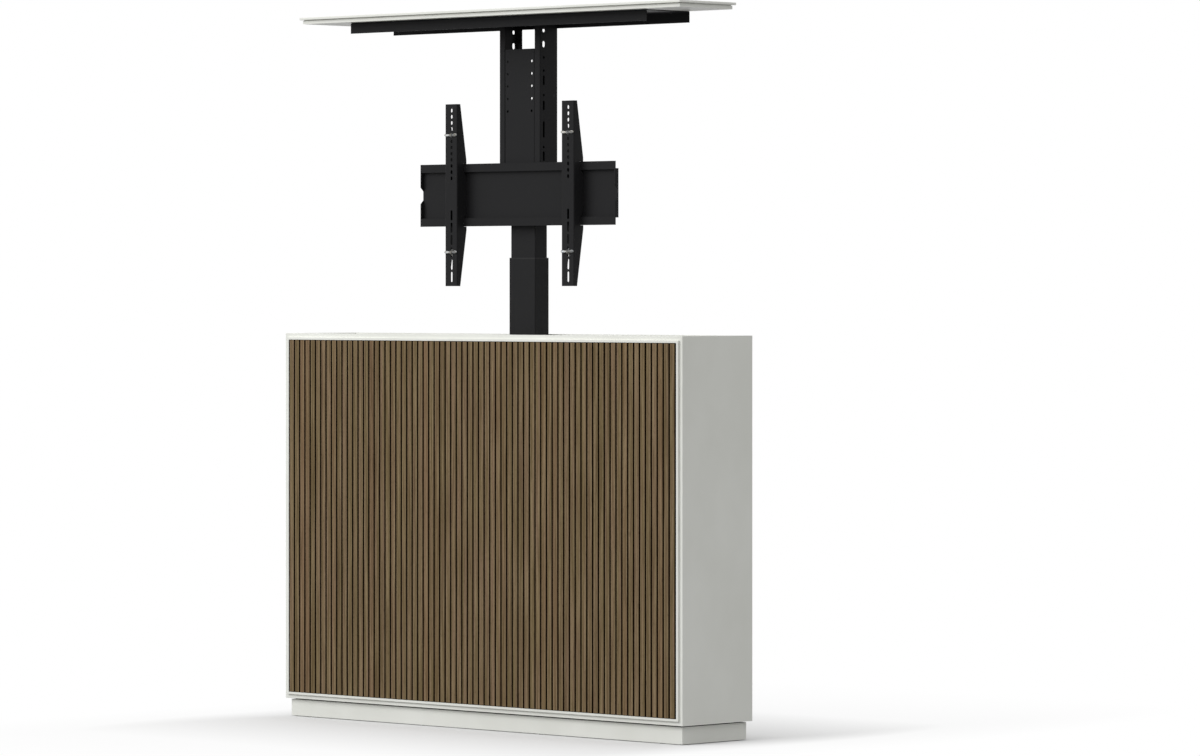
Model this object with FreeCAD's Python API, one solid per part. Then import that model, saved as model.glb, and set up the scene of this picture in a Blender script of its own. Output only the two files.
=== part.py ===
"""Free-standing TV lift cabinet, modelled with the lift fully raised.

Millimetres.  The origin is on the floor at the middle of the cabinet's footprint, +Z is up and the
slatted front faces -Y.  Each named piece is written to parts/NAME.step.
"""
import FreeCAD, Part

import math
import os

from FreeCAD import Vector

os.makedirs("parts", exist_ok=True)

# ---------------------------------------------------------------- sizes of the cabinet
cabinet_width = 1360.0
carcass_depth = 241.0
carcass_height = 910.0
board = 18.0                  # lacquered carcass boards
board_edge_round = 0.8        # eased front edges of the boards

plinth_height = 45.0
plinth_inset = 10.5
plinth_board = 18.0
plinth_rebate = 3.0           # height of the dark line left under the carcass
plinth_rebate_depth = 8.0
corner_block = 36.0
glide_height = 1.5
glide_radius = 8.0
glide_pin_radius = 2.0
glide_pin_length = 8.0
glide_end_margin = 70.0

panel_reveal = 10.0           # carcass edge left showing round the front panel
panel_border = 6.0            # white border round the slats
panel_floor = 2.0             # panel left between the slat pocket and the carcass edges
pocket_depth = 3.0            # the slats stand a little ahead of the border
panel_inset = 9.0             # part of the panel that sits inside the carcass
panel_gap = 0.5
felt_thickness = 0.7
slat_count = 69
slat_gap = 4.8
slat_thickness = 3.0
slat_end_gap = 1.2
slat_edge_round = 0.5

back_board = 12.0
back_recess = 2.0
back_screw_count = 5
vent_count = 14
vent_width = 6.0
vent_length = 60.0
vent_pitch = 16.0
vent_drop = 90.0              # vents' centre below the inner face of the top
outlet_radius = 26.0          # clear radius of the cable outlet
outlet_wall = 4.0
outlet_flange = 6.0
outlet_end_margin = 250.0     # outlet centre from the left end of the cabinet
outlet_rise = 70.0            # outlet centre above the bottom board
gland_radius = 4.0
gland_wall = 4.0
gland_flange = 3.0
gland_end_margin = 375.0      # gland centre from the right end of the cabinet
gland_rise = 60.0
rear_rail_height = 80.0
rear_rail_rise = 579.0        # underside of the rear rail above the bottom board

angle_leg = 13.0
angle_width = 20.0
angle_sheet = 2.0
angle_margin = 50.0           # angles' centre from the front and rear edges of the carcass

# ---------------------------------------------------------------- sizes of the lid and its carrier
lid_end_margin = 28.0         # carcass left in view beyond each end of the lid
lid_setback = 20.3            # front edge of the lid behind the front edge of the carcass
lid_rear_margin = 26.0
lid_lip = 6.0
lid_core = 10.0
lid_step = 6.5
lid_groove = 2.0              # height and depth of the groove between lip and core
lid_edge_round = 1.0
lid_clearance = 3.0           # round the core in the top's opening
lid_seat_gap = 0.5
lift_travel = 780.0

tray_length = 1013.6
tray_depth = 149.0
tray_height = 27.0
tray_sheet = 2.0
tray_back_gap = 1.0
tray_bend = 3.0
lid_screw_count = 6           # along each side of the carrier
lid_screw_margin = 40.0
lid_screw_inset = 22.0

# ---------------------------------------------------------------- sizes of the mast
column_setback = 177.0        # axis of the column behind the front edge of the carcass
mast_lead = 2.0               # middle of the mast ahead of the column's axis
mast_width = 140.0
mast_depth = 61.0
mast_length = 501.0
mast_sheet = 2.0
mast_lip = 18.5
mast_bend = 3.0
mast_plate = 3.0
mast_bolt_x = 40.0
mast_bolt_y = 15.0
wall_opening_y = 17.6         # openings of a side wall, off its middle
wall_hole = 6.4
wall_slot = 24.0
wall_openings = (             # drop below the top of the mast, width, length
    (31.2, 9.3, 10.0),
    (64.8, 9.3, 15.5),
    (97.0, wall_hole, wall_hole),
    (129.0, wall_hole, wall_hole),
    (152.5, wall_hole, wall_slot),
    (188.5, wall_hole, wall_hole),
    (213.5, wall_hole, wall_slot),
    (271.5, wall_hole, 40.0),
    (314.5, wall_hole, wall_hole),
    (336.5, wall_hole, wall_slot),
)

rail_gap = 0.5
rail_drop = 75.0              # top of the front rail below the top of the mast
rail_sheet = 2.0
rail_flange = 35.0
rail_bend = 3.0
rail_hole_radius = 3.2
rail_hole_x = 41.0
rail_hole_pitch = 30.2
rail_hole_margin = 30.0
rail_hole_count = 5

head_drop = 210.5             # top of the head bracket below the top of the mast
head_plate = 4.0
head_flange_height = 34.0
head_bolt_drop = 188.5        # head bracket's studs below the top of the mast
head_gap = 1.0
head_side_gap = 1.0

# ---------------------------------------------------------------- sizes of the screen plate and arms
plate_drop = 428.5            # middle of the screen plate below the top of the mast
plate_length = 667.5
plate_height = 153.0
plate_sheet = 2.5
plate_step = 9.5              # raised strips stand this far ahead of the web
strip_height = 20.0
notch_mouth = 41.0
notch_floor = 22.0
plate_stud_z = 45.0

arm_spacing = 400.0
arm_left = 22.3               # arm's edges from the line of its slots
arm_right = 19.25
arm_height = 446.0
arm_sheet = 2.0
arm_bend = 2.5
arm_standoff = 23.9           # arm's face ahead of the plate's strips
arm_reach = 9.0               # arm's webs behind the front of the strips
arm_end_depth = 11.3
arm_clearance = 0.3
hook_thickness = 5.8
hook_length = 10.0
arm_slot_width = 6.6
short_slot_length = 9.6
short_slot_pitch = 15.1
short_slot_margin = 15.7      # first short slot below the top of the arm
short_slot_count = 12
long_slot_length = 25.5
long_slot_pitch = 30.2
long_slot_margin = 22.5
long_slot_count = 6
wing_short_row = 4            # short slot that holds the upper wing screw
wing_long_row = 2             # long slot that holds the lower wing screw

wing_thread_radius = 3.0
wing_tail = 1.0               # thread past the nut
wing_collar_radius = 5.0
wing_collar = 1.4
wing_hub_radius = 4.8
wing_hub_end_radius = 3.8
wing_hub = 5.0
wing_span = 44.0
wing_rise = 2.0               # lower corners of the wings' tips above the screw's axis
wing_belly = 3.6              # under side of the wings below the axis
wing_saddle = 2.6             # upper side of the wings above the axis
wing_tip = 3.0
wing_inset = 0.8              # wings behind the end of the hub
wing_depth = 2.5
wing_nut_width = 16.0
wing_nut = 5.0
thread_clearance = 0.05

# ---------------------------------------------------------------- sizes of the column
inner_width = 84.0
inner_depth = 42.0
tube_wall = 1.5
tube_gap = 1.5                # between one tube and the next
tube_corner = 3.0
tube_travel_gap = 2.0         # left between two stages when the lift is down
middle_travel = 416.0
head_rest = 4.0               # head plate above the middle tube when the lift is down
stage_rest = 10.0             # middle tube above the fixed tube when the lift is down
collar_height = 3.0
collar_spigot = 3.5           # part of the collar inside the middle tube
collar_gap = 0.4
pad_thickness = 1.2
pad_length = 36.0
pad_end = 4.0
wide_pad = 50.0
narrow_pad = 22.0

base_width = 200.0
base_depth = 96.0
base_plate = 5.0
base_bolt_x = 80.0
base_bolt_y = 32.0
motor_radius = 22.0
motor_length = 95.0
motor_round = 1.0
coupling_radius = 10.0
coupling_length = 20.0
coupling_gap = 0.3
coupling_grip = 10.0
bearing_height = 12.0
bearing_gap = 1.7
journal_radius = 6.0
running_clearance = 0.05
block_clearance = 0.1
screw_radius = 8.0
drive_head_radius = 8.5
drive_head_length = 16.0
drive_head_rise = 6.0         # above the collar of the upper screw, lift raised
nut_height = 22.0
block_spacing = 4.0
block_height = 10.0
upper_journal_radius = 10.0
upper_bore_radius = 8.6
upper_screw_radius = 11.0
upper_collar_radius = 14.0
upper_collar = 3.0
screw_overrun = 55.0          # upper screw above its nut when the lift is up
plug_height = 20.0
plug_bolt_x = 21.0
plug_bolt_margin = 1.0        # plug left below its bolts
brace_width = 70.0
brace_height = 60.0
brace_bolt_x = 20.0

# ---------------------------------------------------------------- sizes of the control box and fasteners
box_width = 160.0
box_depth = 70.0
box_height = 45.0
box_wall = 2.5
box_end_margin = 370.0        # middle of the box from the right end of the cabinet
box_setback = 148.0           # front of the box behind the front edge of the carcass
box_round = 3.0
rocker_length = 20.0
rocker_width = 10.0
rocker_well = 8.0
rocker_gap = 0.8
rocker_rise = 3.0
rocker_pin_radius = 1.5
rocker_pin_bite = 2.0
rocker_relief = 2.2
rocker_pad = 2.0              # flat left between each raised edge and its end

m6_radius = 3.0
m6_head_radius = 5.5
m6_head = 3.3
m6_nut_radius = 5.5
m6_nut = 5.0
m8_radius = 4.0
m8_head_radius = 7.0
m8_head = 4.4
m8_nut_radius = 7.2
m8_nut = 6.5
hole_clearance = 0.3
wood_bite = 7.0
base_bolt_bite = 14.0
wood_screw_radius = 2.0
wood_screw_head_radius = 4.0
wood_screw_head = 2.5

# ---------------------------------------------------------------- places worked out from the sizes
half_width = cabinet_width / 2
panel_proud = panel_floor + pocket_depth
slat_proud = panel_floor + felt_thickness + slat_thickness
front_y = (slat_proud - carcass_depth) / 2
back_y = front_y + carcass_depth
carcass_bottom = plinth_height
carcass_top = plinth_height + carcass_height
inner_half_width = half_width - board
bay_floor = carcass_bottom + board
bay_top = carcass_top - board
back_inner_y = back_y - back_recess - back_board
panel_front_y = front_y - panel_proud
outlet_x = outlet_end_margin - half_width
gland_x = half_width - gland_end_margin
box_x = half_width - box_end_margin

column_y = front_y + column_setback
mast_y = column_y - mast_lead
lid_length = cabinet_width - 2 * lid_end_margin
lid_depth = carcass_depth - lid_setback - lid_rear_margin
lid_lip_z = carcass_top + lid_seat_gap + lift_travel
lid_core_z = lid_lip_z - lid_core
lid_front_y = front_y + lid_setback
tray_web_z = lid_core_z - tray_sheet
mast_top = tray_web_z
mast_bottom = mast_top - mast_length
mast_front_y = mast_y - mast_depth / 2
head_bolt_y = mast_y + wall_opening_y
head_bolt_z = mast_top - head_bolt_drop
mast_back_y = mast_y + mast_depth / 2
tray_back_y = mast_back_y + tray_back_gap + tray_sheet
tray_front_y = tray_back_y - tray_depth
rail_half = mast_width / 2 - mast_lip - rail_gap

plate_z = mast_top - plate_drop
plate_web_y = mast_front_y - plate_sheet
strip_front_y = plate_web_y - plate_step
arm_face_y = strip_front_y - arm_standoff

middle_width = inner_width + 2 * (tube_wall + tube_gap)
middle_depth = inner_depth + 2 * (tube_wall + tube_gap)
fixed_width = middle_width + 2 * (tube_wall + tube_gap)
fixed_depth = middle_depth + 2 * (tube_wall + tube_gap)
inner_travel = lift_travel - middle_travel
inner_top = mast_top - head_drop - head_plate
middle_top = inner_top - inner_travel - head_rest
fixed_top = middle_top - middle_travel - stage_rest
fixed_bottom = bay_floor + base_plate
motor_top = fixed_bottom + motor_length
coupling_top = motor_top + coupling_gap + coupling_length
bearing_bottom = coupling_top + bearing_gap
bearing_top = bearing_bottom + bearing_height
middle_bottom = bearing_top + tube_travel_gap + middle_travel
block_bottom = middle_bottom + nut_height + block_spacing
block_top = block_bottom + block_height
inner_bottom = block_top + upper_collar + tube_travel_gap + inner_travel
upper_screw_top = inner_bottom + nut_height + screw_overrun
rear_rail_front_y = back_inner_y - board


# ---------------------------------------------------------------- helpers
def box(x0, x1, y0, y1, z0, z1):
    """Block between two corners."""
    return Part.makeBox(x1 - x0, y1 - y0, z1 - z0, Vector(x0, y0, z0))


def rod(radius, start, direction, length):
    """Solid cylinder from a point along a direction."""
    return Part.makeCylinder(radius, length, Vector(*start), Vector(*direction))


def prism(points, push):
    """Extrude the closed polygon through the points along the vector push."""
    corners = [Vector(*point) for point in points]
    return Part.Face(Part.makePolygon(corners + corners[:1])).extrude(Vector(*push))


def group(solids):
    """Several separate solids kept in one piece."""
    return Part.makeCompound(solids)


def mirrored_x(shape):
    """Mirror image of a shape across the cabinet's middle plane."""
    return shape.mirror(Vector(0, 0, 0), Vector(1, 0, 0))


def round_edges(shape, direction, radius, picked=lambda middle: True):
    """Round the straight edges that run along a direction and whose middle point is picked."""
    along = Vector(*direction)
    edges = []
    for edge in shape.Edges:
        if edge.Curve.TypeId != "Part::GeomLine" or edge.Curve.Direction.cross(along).Length > 1e-6:
            continue
        if picked(edge.CenterOfMass):
            edges.append(edge)
    return shape.makeFillet(radius, edges) if edges else shape


def slot_along_y(x, z, width, length, y0, y1):
    """Upright slot with round ends that runs through along Y."""
    half = length / 2 - width / 2
    slot = box(x - width / 2, x + width / 2, y0, y1, z - half, z + half)
    for end in (-half, half):
        slot = slot.fuse(rod(width / 2, (x, y0, z + end), (0, 1, 0), y1 - y0))
    return slot


def slot_along_x(y, z, width, length, x0, x1):
    """Upright slot with round ends, or a round hole, that runs through along X."""
    if length == width:
        return rod(width / 2, (x0, y, z), (1, 0, 0), x1 - x0)
    half = length / 2 - width / 2
    slot = box(x0, x1, y - width / 2, y + width / 2, z - half, z + half)
    for end in (-half, half):
        slot = slot.fuse(rod(width / 2, (x0, y, z + end), (1, 0, 0), x1 - x0))
    return slot


def column_bar(width, depth, z0, z1, corner):
    """Rounded rectangular bar centred on the column's axis."""
    bar = box(-width / 2, width / 2, column_y - depth / 2, column_y + depth / 2, z0, z1)
    return round_edges(bar, (0, 0, 1), corner)


def column_tube(width, depth, z0, z1):
    """Rectangular steel tube of the column with round corners."""
    outer = column_bar(width, depth, z0, z1, tube_corner)
    inner = column_bar(width - 2 * tube_wall, depth - 2 * tube_wall, z0, z1, tube_corner - tube_wall)
    return outer.cut(inner)


def glide_pads(width, depth, z0, side):
    """Four thin pads on the faces of a tube: side 1 on the outside, side -1 on the inside."""
    pads = []
    for sign in (-1, 1):
        face = sign * depth / 2
        y0, y1 = sorted((face, face + sign * side * pad_thickness))
        pads.append(box(-wide_pad / 2, wide_pad / 2, column_y + y0, column_y + y1, z0, z0 + pad_length))
        face = sign * width / 2
        x0, x1 = sorted((face, face + sign * side * pad_thickness))
        pads.append(box(x0, x1, column_y - narrow_pad / 2, column_y + narrow_pad / 2, z0, z0 + pad_length))
    return pads


def column_block(width, depth, z0, height, bore):
    """Plastic block that fills a tube, with a bore for a screw."""
    block = column_bar(width - 2 * block_clearance, depth - 2 * block_clearance, z0, z0 + height,
                       tube_corner - tube_wall)
    return block.cut(rod(bore, (0, column_y, z0), (0, 0, 1), height))


def bolt(start, direction, shank_radius, length, head_radius, head):
    """Button-head bolt: start is under the head and direction points along the shank."""
    along = Vector(*direction)
    under = Vector(*start)
    shank = Part.makeCylinder(shank_radius, length, under, along)
    cap = Part.makeCylinder(head_radius, head, under - along * head, along)
    return shank.fuse(cap)


def hex_nut(start, direction, radius, height, hole_radius):
    """Hexagon nut threaded on a bolt: start is the face against the work."""
    along = Vector(*direction)
    side = Vector(0, 0, 1) if abs(along.z) < 0.5 else Vector(1, 0, 0)
    corners = []
    for index in range(6):
        turn = FreeCAD.Rotation(along, 60.0 * index)
        corners.append(Vector(*start) + turn.multVec(side) * radius)
    nut = Part.Face(Part.makePolygon(corners + corners[:1])).extrude(along * height)
    return nut.cut(Part.makeCylinder(hole_radius, height, Vector(*start), along))


# ---------------------------------------------------------------- plinth
def plinth_run(length, z0):
    """Mitred plinth board with a rebate along its outer top edge, its outer face on y = 0."""
    outer = length / 2
    inner = outer - plinth_board
    points = [(-outer, 0, z0), (outer, 0, z0), (inner, plinth_board, z0), (-inner, plinth_board, z0)]
    rebate = box(-outer, outer, 0, plinth_rebate_depth, plinth_height - plinth_rebate, plinth_height)
    return prism(points, (0, 0, plinth_height - z0)).cut(rebate)


def plinth_boards():
    """Four mitred boards under the carcass, set in on every side."""
    length = cabinet_width - 2 * plinth_inset
    depth = carcass_depth - 2 * plinth_inset
    middle_y = front_y + carcass_depth / 2
    front = plinth_run(length, glide_height).translated(Vector(0, middle_y - depth / 2, 0))
    rear = plinth_run(length, glide_height)
    rear.rotate(Vector(0, 0, 0), Vector(0, 0, 1), 180)
    rear.translate(Vector(0, middle_y + depth / 2, 0))
    right = plinth_run(depth, glide_height)
    right.rotate(Vector(0, 0, 0), Vector(0, 0, 1), 90)
    right.translate(Vector(length / 2, middle_y, 0))
    pin_holes = [glide_pin(x, y) for x, y in glide_places()]
    return {
        "plinth_front": front.cut(group(pin_holes)),
        "plinth_rear": rear.cut(group(pin_holes)),
        "plinth_right": right,
        "plinth_left": mirrored_x(right),
    }


def glide_places():
    """Centres of the glides: four under the front board and four under the rear board."""
    reach = half_width - plinth_inset - glide_end_margin
    edge = plinth_inset + plinth_board / 2
    columns = [-reach, -reach / 3, reach / 3, reach]
    return [(x, y) for x in columns for y in (front_y + edge, back_y - edge)]


def glide_pin(x, y):
    """Pin of one glide, driven up into the plinth board."""
    return rod(glide_pin_radius, (x, y, glide_height), (0, 0, 1), glide_pin_length)


def plinth_glides():
    """Plastic glides that carry the plinth just clear of the floor."""
    glides = []
    for x, y in glide_places():
        disc = rod(glide_radius, (x, y, 0), (0, 0, 1), glide_height)
        glides.append(disc.fuse(glide_pin(x, y)))
    return group(glides)


def plinth_corner_blocks():
    """Glue blocks in the four inner corners of the plinth."""
    edge = plinth_inset + plinth_board
    blocks = []
    for sign in (-1, 1):
        x0, x1 = sorted((sign * (half_width - edge), sign * (half_width - edge - corner_block)))
        for y0 in (front_y + edge, back_y - edge - corner_block):
            blocks.append(box(x0, x1, y0, y0 + corner_block, glide_height, plinth_height))
    return group(blocks)


# ---------------------------------------------------------------- carcass
def carcass_run(x0, z0, x1, z1, inward):
    """Mitred carcass board between two outer corners; inward points to the inside of the box."""
    along = Vector(x1 - x0, 0, z1 - z0).normalize()
    step = Vector(inward[0], 0, inward[1]) * board
    start, end = Vector(x0, front_y, z0), Vector(x1, front_y, z1)
    corners = [start, end, end + step - along * board, start + step + along * board]
    run = Part.Face(Part.makePolygon(corners + corners[:1])).extrude(Vector(0, carcass_depth, 0))
    return round_edges(run, tuple(along), board_edge_round)


def lift_opening():
    """Space that the lid's core and all below it pass through in the top."""
    half = lid_length / 2 - lid_step + lid_clearance
    inset = lid_step - lid_clearance
    return box(-half, half, lid_front_y + inset, lid_front_y + lid_depth - inset, bay_top, carcass_top)


def carcass_boards():
    """Sides, bottom and top of the carcass, mitred together."""
    side = carcass_run(half_width, carcass_bottom, half_width, carcass_top, (-1, 0))
    bottom = carcass_run(-half_width, carcass_bottom, half_width, carcass_bottom, (0, 1))
    for x, y in base_bolt_places():
        bottom = bottom.cut(rod(m8_radius, (x, y, bay_floor - base_bolt_bite), (0, 0, 1), base_bolt_bite))
    top = carcass_run(-half_width, carcass_top, half_width, carcass_top, (0, -1))
    return {
        "side_panel_right": side,
        "side_panel_left": mirrored_x(side),
        "bottom_panel": bottom,
        "top_panel": top.cut(lift_opening()),
    }


def corner_angles():
    """Steel angles in the inner corners between the sides and the top and bottom."""
    angles = []
    for y in (front_y + angle_margin, back_y - angle_margin):
        for z, up in ((bay_floor, 1), (bay_top, -1)):
            x = inner_half_width
            legs = [(x, z), (x - angle_leg, z), (x - angle_leg, z + up * angle_sheet),
                    (x - angle_sheet, z + up * angle_sheet), (x - angle_sheet, z + up * angle_leg),
                    (x, z + up * angle_leg)]
            points = [(px, y - angle_width / 2, pz) for px, pz in legs]
            angle = prism(points, (0, angle_width, 0))
            angles += [angle, mirrored_x(angle)]
    return group(angles)


def rear_rail():
    """Board between the sides behind the column, which the column is braced to."""
    z0 = bay_floor + rear_rail_rise
    rail = box(-inner_half_width, inner_half_width, rear_rail_front_y, back_inner_y,
               z0, z0 + rear_rail_height)
    for x in back_screw_places():
        rail = rail.cut(rod(wood_screw_radius, (x, back_inner_y, rear_rail_middle()), (0, -1, 0), wood_bite))
    for x in (-brace_bolt_x, brace_bolt_x):
        rail = rail.cut(brace_screw(x))
    return rail


def rear_rail_middle():
    """Height of the middle of the rear rail."""
    return bay_floor + rear_rail_rise + rear_rail_height / 2


def back_screw_places():
    """Places along X of the screws that hold the back panel to the rear rail."""
    reach = inner_half_width - angle_margin
    return [-reach + 2 * reach * index / (back_screw_count - 1) for index in range(back_screw_count)]


def back_panel_screws():
    """Countersunk screws through the back panel into the rear rail."""
    screws = []
    face = back_y - back_recess
    for x in back_screw_places():
        cone = Part.makeCone(wood_screw_head_radius, wood_screw_radius, wood_screw_head,
                             Vector(x, face, rear_rail_middle()), Vector(0, -1, 0))
        shank = rod(wood_screw_radius, (x, face, rear_rail_middle()), (0, -1, 0), back_board + wood_bite)
        screws.append(cone.fuse(shank))
    return group(screws)


def back_panel():
    """Removable back with vents, a round cable outlet and the mains lead's gland."""
    face = back_y - back_recess
    panel = box(-inner_half_width + panel_gap, inner_half_width - panel_gap, back_inner_y, face,
                bay_floor + panel_gap, bay_top - panel_gap)
    cuts = []
    for side in (-1, 1):
        for index in range(vent_count):
            x = side * (inner_half_width / 2) + (index - (vent_count - 1) / 2) * vent_pitch
            cuts.append(slot_along_y(x, bay_top - vent_drop, vent_width, vent_length, back_inner_y, face))
    cuts.append(rod(outlet_radius + outlet_wall, (outlet_x, back_inner_y, bay_floor + outlet_rise),
                    (0, 1, 0), back_board))
    cuts.append(rod(gland_radius + gland_wall, (gland_x, back_inner_y, bay_floor + gland_rise),
                    (0, 1, 0), back_board))
    return panel.cut(group(cuts)).cut(back_panel_screws())


def panel_ring(x, z, bore, wall, flange):
    """Flanged plastic ring through the back panel, with its flange outside."""
    sleeve = rod(bore + wall, (x, back_inner_y, z), (0, 1, 0), back_board)
    rim = rod(bore + wall + flange, (x, back_y - back_recess, z), (0, 1, 0), back_recess)
    return sleeve.fuse(rim).cut(rod(bore, (x, back_inner_y, z), (0, 1, 0), back_board + back_recess))


# ---------------------------------------------------------------- front
def field_edges():
    """Half width, bottom and top of the slat field inside the white border."""
    margin = panel_reveal + panel_border
    return half_width - margin, carcass_bottom + margin, carcass_top - margin


def front_panel():
    """White panel over the carcass edges, with a shallow pocket for the slats."""
    half = half_width - panel_reveal
    face = box(-half, half, panel_front_y, front_y, carcass_bottom + panel_reveal, carcass_top - panel_reveal)
    for direction in ((1, 0, 0), (0, 0, 1)):
        face = round_edges(face, direction, board_edge_round, lambda middle: middle.y < front_y - panel_floor)
    inset_half = inner_half_width - panel_gap
    inset = box(-inset_half, inset_half, front_y, front_y + panel_inset,
                bay_floor + panel_gap, bay_top - panel_gap)
    field_half, field_bottom, field_top = field_edges()
    pocket = box(-field_half, field_half, panel_front_y, front_y - panel_floor, field_bottom, field_top)
    return face.fuse(inset).cut(pocket)


def slat_backing():
    """Black felt that lines the pocket behind the slats."""
    field_half, field_bottom, field_top = field_edges()
    floor_y = front_y - panel_floor
    return box(-field_half, field_half, floor_y - felt_thickness, floor_y, field_bottom, field_top)


def front_slats():
    """Upright slats with an equal gap between them and at both ends of the field."""
    field_half, field_bottom, field_top = field_edges()
    width = (2 * field_half - (slat_count + 1) * slat_gap) / slat_count
    back = front_y - panel_floor - felt_thickness
    slat = box(0, width, back - slat_thickness, back, field_bottom + slat_end_gap, field_top - slat_end_gap)
    slat = round_edges(slat, (0, 0, 1), slat_edge_round, lambda middle: middle.y < back - slat_thickness / 2)
    first = -field_half + slat_gap
    return group([slat.translated(Vector(first + index * (width + slat_gap), 0, 0))
                  for index in range(slat_count)])


# ---------------------------------------------------------------- lid and its carrier
def lid_screw_places():
    """Centres of the wood screws that hold the carrier to the lid."""
    reach = tray_length / 2 - lid_screw_margin
    rows = (tray_front_y + lid_screw_inset, tray_back_y - lid_screw_inset)
    columns = [-reach + 2 * reach * index / (lid_screw_count - 1) for index in range(lid_screw_count)]
    return [(x, y) for x in columns for y in rows]


def lid_screws():
    """Pan-head screws up through the carrier into the lid."""
    return group([bolt((x, y, tray_web_z), (0, 0, 1), wood_screw_radius, tray_sheet + wood_bite,
                       wood_screw_head_radius, wood_screw_head) for x, y in lid_screw_places()])


def mast_bolt_places():
    """Centres of the bolts that join the mast's top plate to the carrier and the lid."""
    return [(sx * mast_bolt_x, mast_y + sy * mast_bolt_y) for sx in (-1, 1) for sy in (-1, 1)]


def mast_bolts():
    """Bolts up through the mast's top plate and the carrier into the lid."""
    return group([bolt((x, y, mast_top - mast_plate), (0, 0, 1), m6_radius,
                       mast_plate + tray_sheet + wood_bite, m6_head_radius, m6_head)
                  for x, y in mast_bolt_places()])


def lid_board():
    """Lid with a thin lip that lies on the top, a groove, and a core that drops into the opening."""
    half = lid_length / 2
    back = lid_front_y + lid_depth
    lip = box(-half, half, lid_front_y, back, lid_lip_z, lid_lip_z + lid_lip)
    for direction in ((1, 0, 0), (0, 1, 0)):
        lip = round_edges(lip, direction, lid_edge_round)
    board_shape = lip
    for inset, z1 in ((lid_step, lid_lip_z - lid_groove), (lid_step + lid_groove, lid_lip_z)):
        core = box(-half + inset, half - inset, lid_front_y + inset, back - inset, lid_core_z, z1)
        board_shape = board_shape.fuse(core)
    board_shape = board_shape.removeSplitter()
    holes = [rod(wood_screw_radius, (x, y, lid_core_z), (0, 0, 1), wood_bite) for x, y in lid_screw_places()]
    holes += [rod(m6_radius, (x, y, lid_core_z), (0, 0, 1), wood_bite) for x, y in mast_bolt_places()]
    return board_shape.cut(group(holes))


def lid_carrier():
    """Long inverted sheet-steel channel under the lid, open at both ends."""
    half = tray_length / 2
    outer = box(-half, half, tray_front_y, tray_back_y, lid_core_z - tray_height, lid_core_z)
    outer = round_edges(outer, (1, 0, 0), tray_bend, lambda middle: middle.z > lid_core_z - tray_height / 2)
    inner = box(-half, half, tray_front_y + tray_sheet, tray_back_y - tray_sheet,
                lid_core_z - tray_height, tray_web_z)
    inner = round_edges(inner, (1, 0, 0), tray_bend - tray_sheet,
                        lambda middle: middle.z > lid_core_z - tray_height / 2)
    holes = [rod(wood_screw_radius, (x, y, tray_web_z), (0, 0, 1), tray_sheet) for x, y in lid_screw_places()]
    holes += [rod(m6_radius, (x, y, tray_web_z), (0, 0, 1), tray_sheet) for x, y in mast_bolt_places()]
    return outer.cut(inner).cut(group(holes))


# ---------------------------------------------------------------- mast
def mast_channel(opening_y):
    """Right side channel of the mast: a wall with one column of openings, and two lips."""
    x0, x1 = mast_width / 2 - mast_lip, mast_width / 2
    outer = box(x0, x1, mast_front_y, mast_back_y, mast_bottom, mast_top)
    outer = round_edges(outer, (0, 0, 1), mast_bend, lambda middle: middle.x > x1 - mast_sheet)
    inner = box(x0, x1 - mast_sheet, mast_front_y + mast_sheet, mast_back_y - mast_sheet,
                mast_bottom, mast_top)
    inner = round_edges(inner, (0, 0, 1), mast_bend - mast_sheet,
                        lambda middle: middle.x > x1 - 2 * mast_sheet)
    cuts = [slot_along_x(opening_y, mast_top - drop, width, length, x1 - mast_sheet, x1)
            for drop, width, length in wall_openings]
    cuts.append(rod(m6_radius, (x1, head_bolt_y, head_bolt_z), (-1, 0, 0), mast_sheet))
    for x, z in plate_stud_places():
        if x > 0:
            cuts.append(rod(m8_radius + hole_clearance, (x, mast_front_y, z), (0, 1, 0), mast_sheet))
    return outer.cut(inner).cut(group(cuts))


def mast_rail():
    """Front rail between the lips of the side channels, with two columns of holes."""
    z1 = mast_top - rail_drop
    outer = box(-rail_half, rail_half, mast_front_y, mast_front_y + rail_flange, mast_bottom, z1)
    outer = round_edges(outer, (0, 0, 1), rail_bend, lambda middle: middle.y < mast_front_y + rail_sheet)
    inner = box(-rail_half + rail_sheet, rail_half - rail_sheet, mast_front_y + rail_sheet,
                mast_front_y + rail_flange, mast_bottom, z1)
    inner = round_edges(inner, (0, 0, 1), rail_bend - rail_sheet,
                        lambda middle: middle.y < mast_front_y + 2 * rail_sheet)
    holes = []
    for index in range(rail_hole_count):
        z = z1 - rail_hole_margin - index * rail_hole_pitch
        for x in (-rail_hole_x, rail_hole_x):
            holes.append(rod(rail_hole_radius, (x, mast_front_y, z), (0, 1, 0), rail_sheet))
    return outer.cut(inner).cut(group(holes))


def mast_top_plate():
    """Plate inside the top of the mast, bolted up to the carrier."""
    half = mast_width / 2 - mast_sheet
    plate = box(-half, half, mast_front_y + mast_sheet, mast_back_y - mast_sheet,
                mast_top - mast_plate, mast_top)
    plate = round_edges(plate, (0, 0, 1), mast_bend - mast_sheet)
    return plate.cut(group([rod(m6_radius, (x, y, mast_top - mast_plate), (0, 0, 1), mast_plate)
                            for x, y in mast_bolt_places()]))


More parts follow.
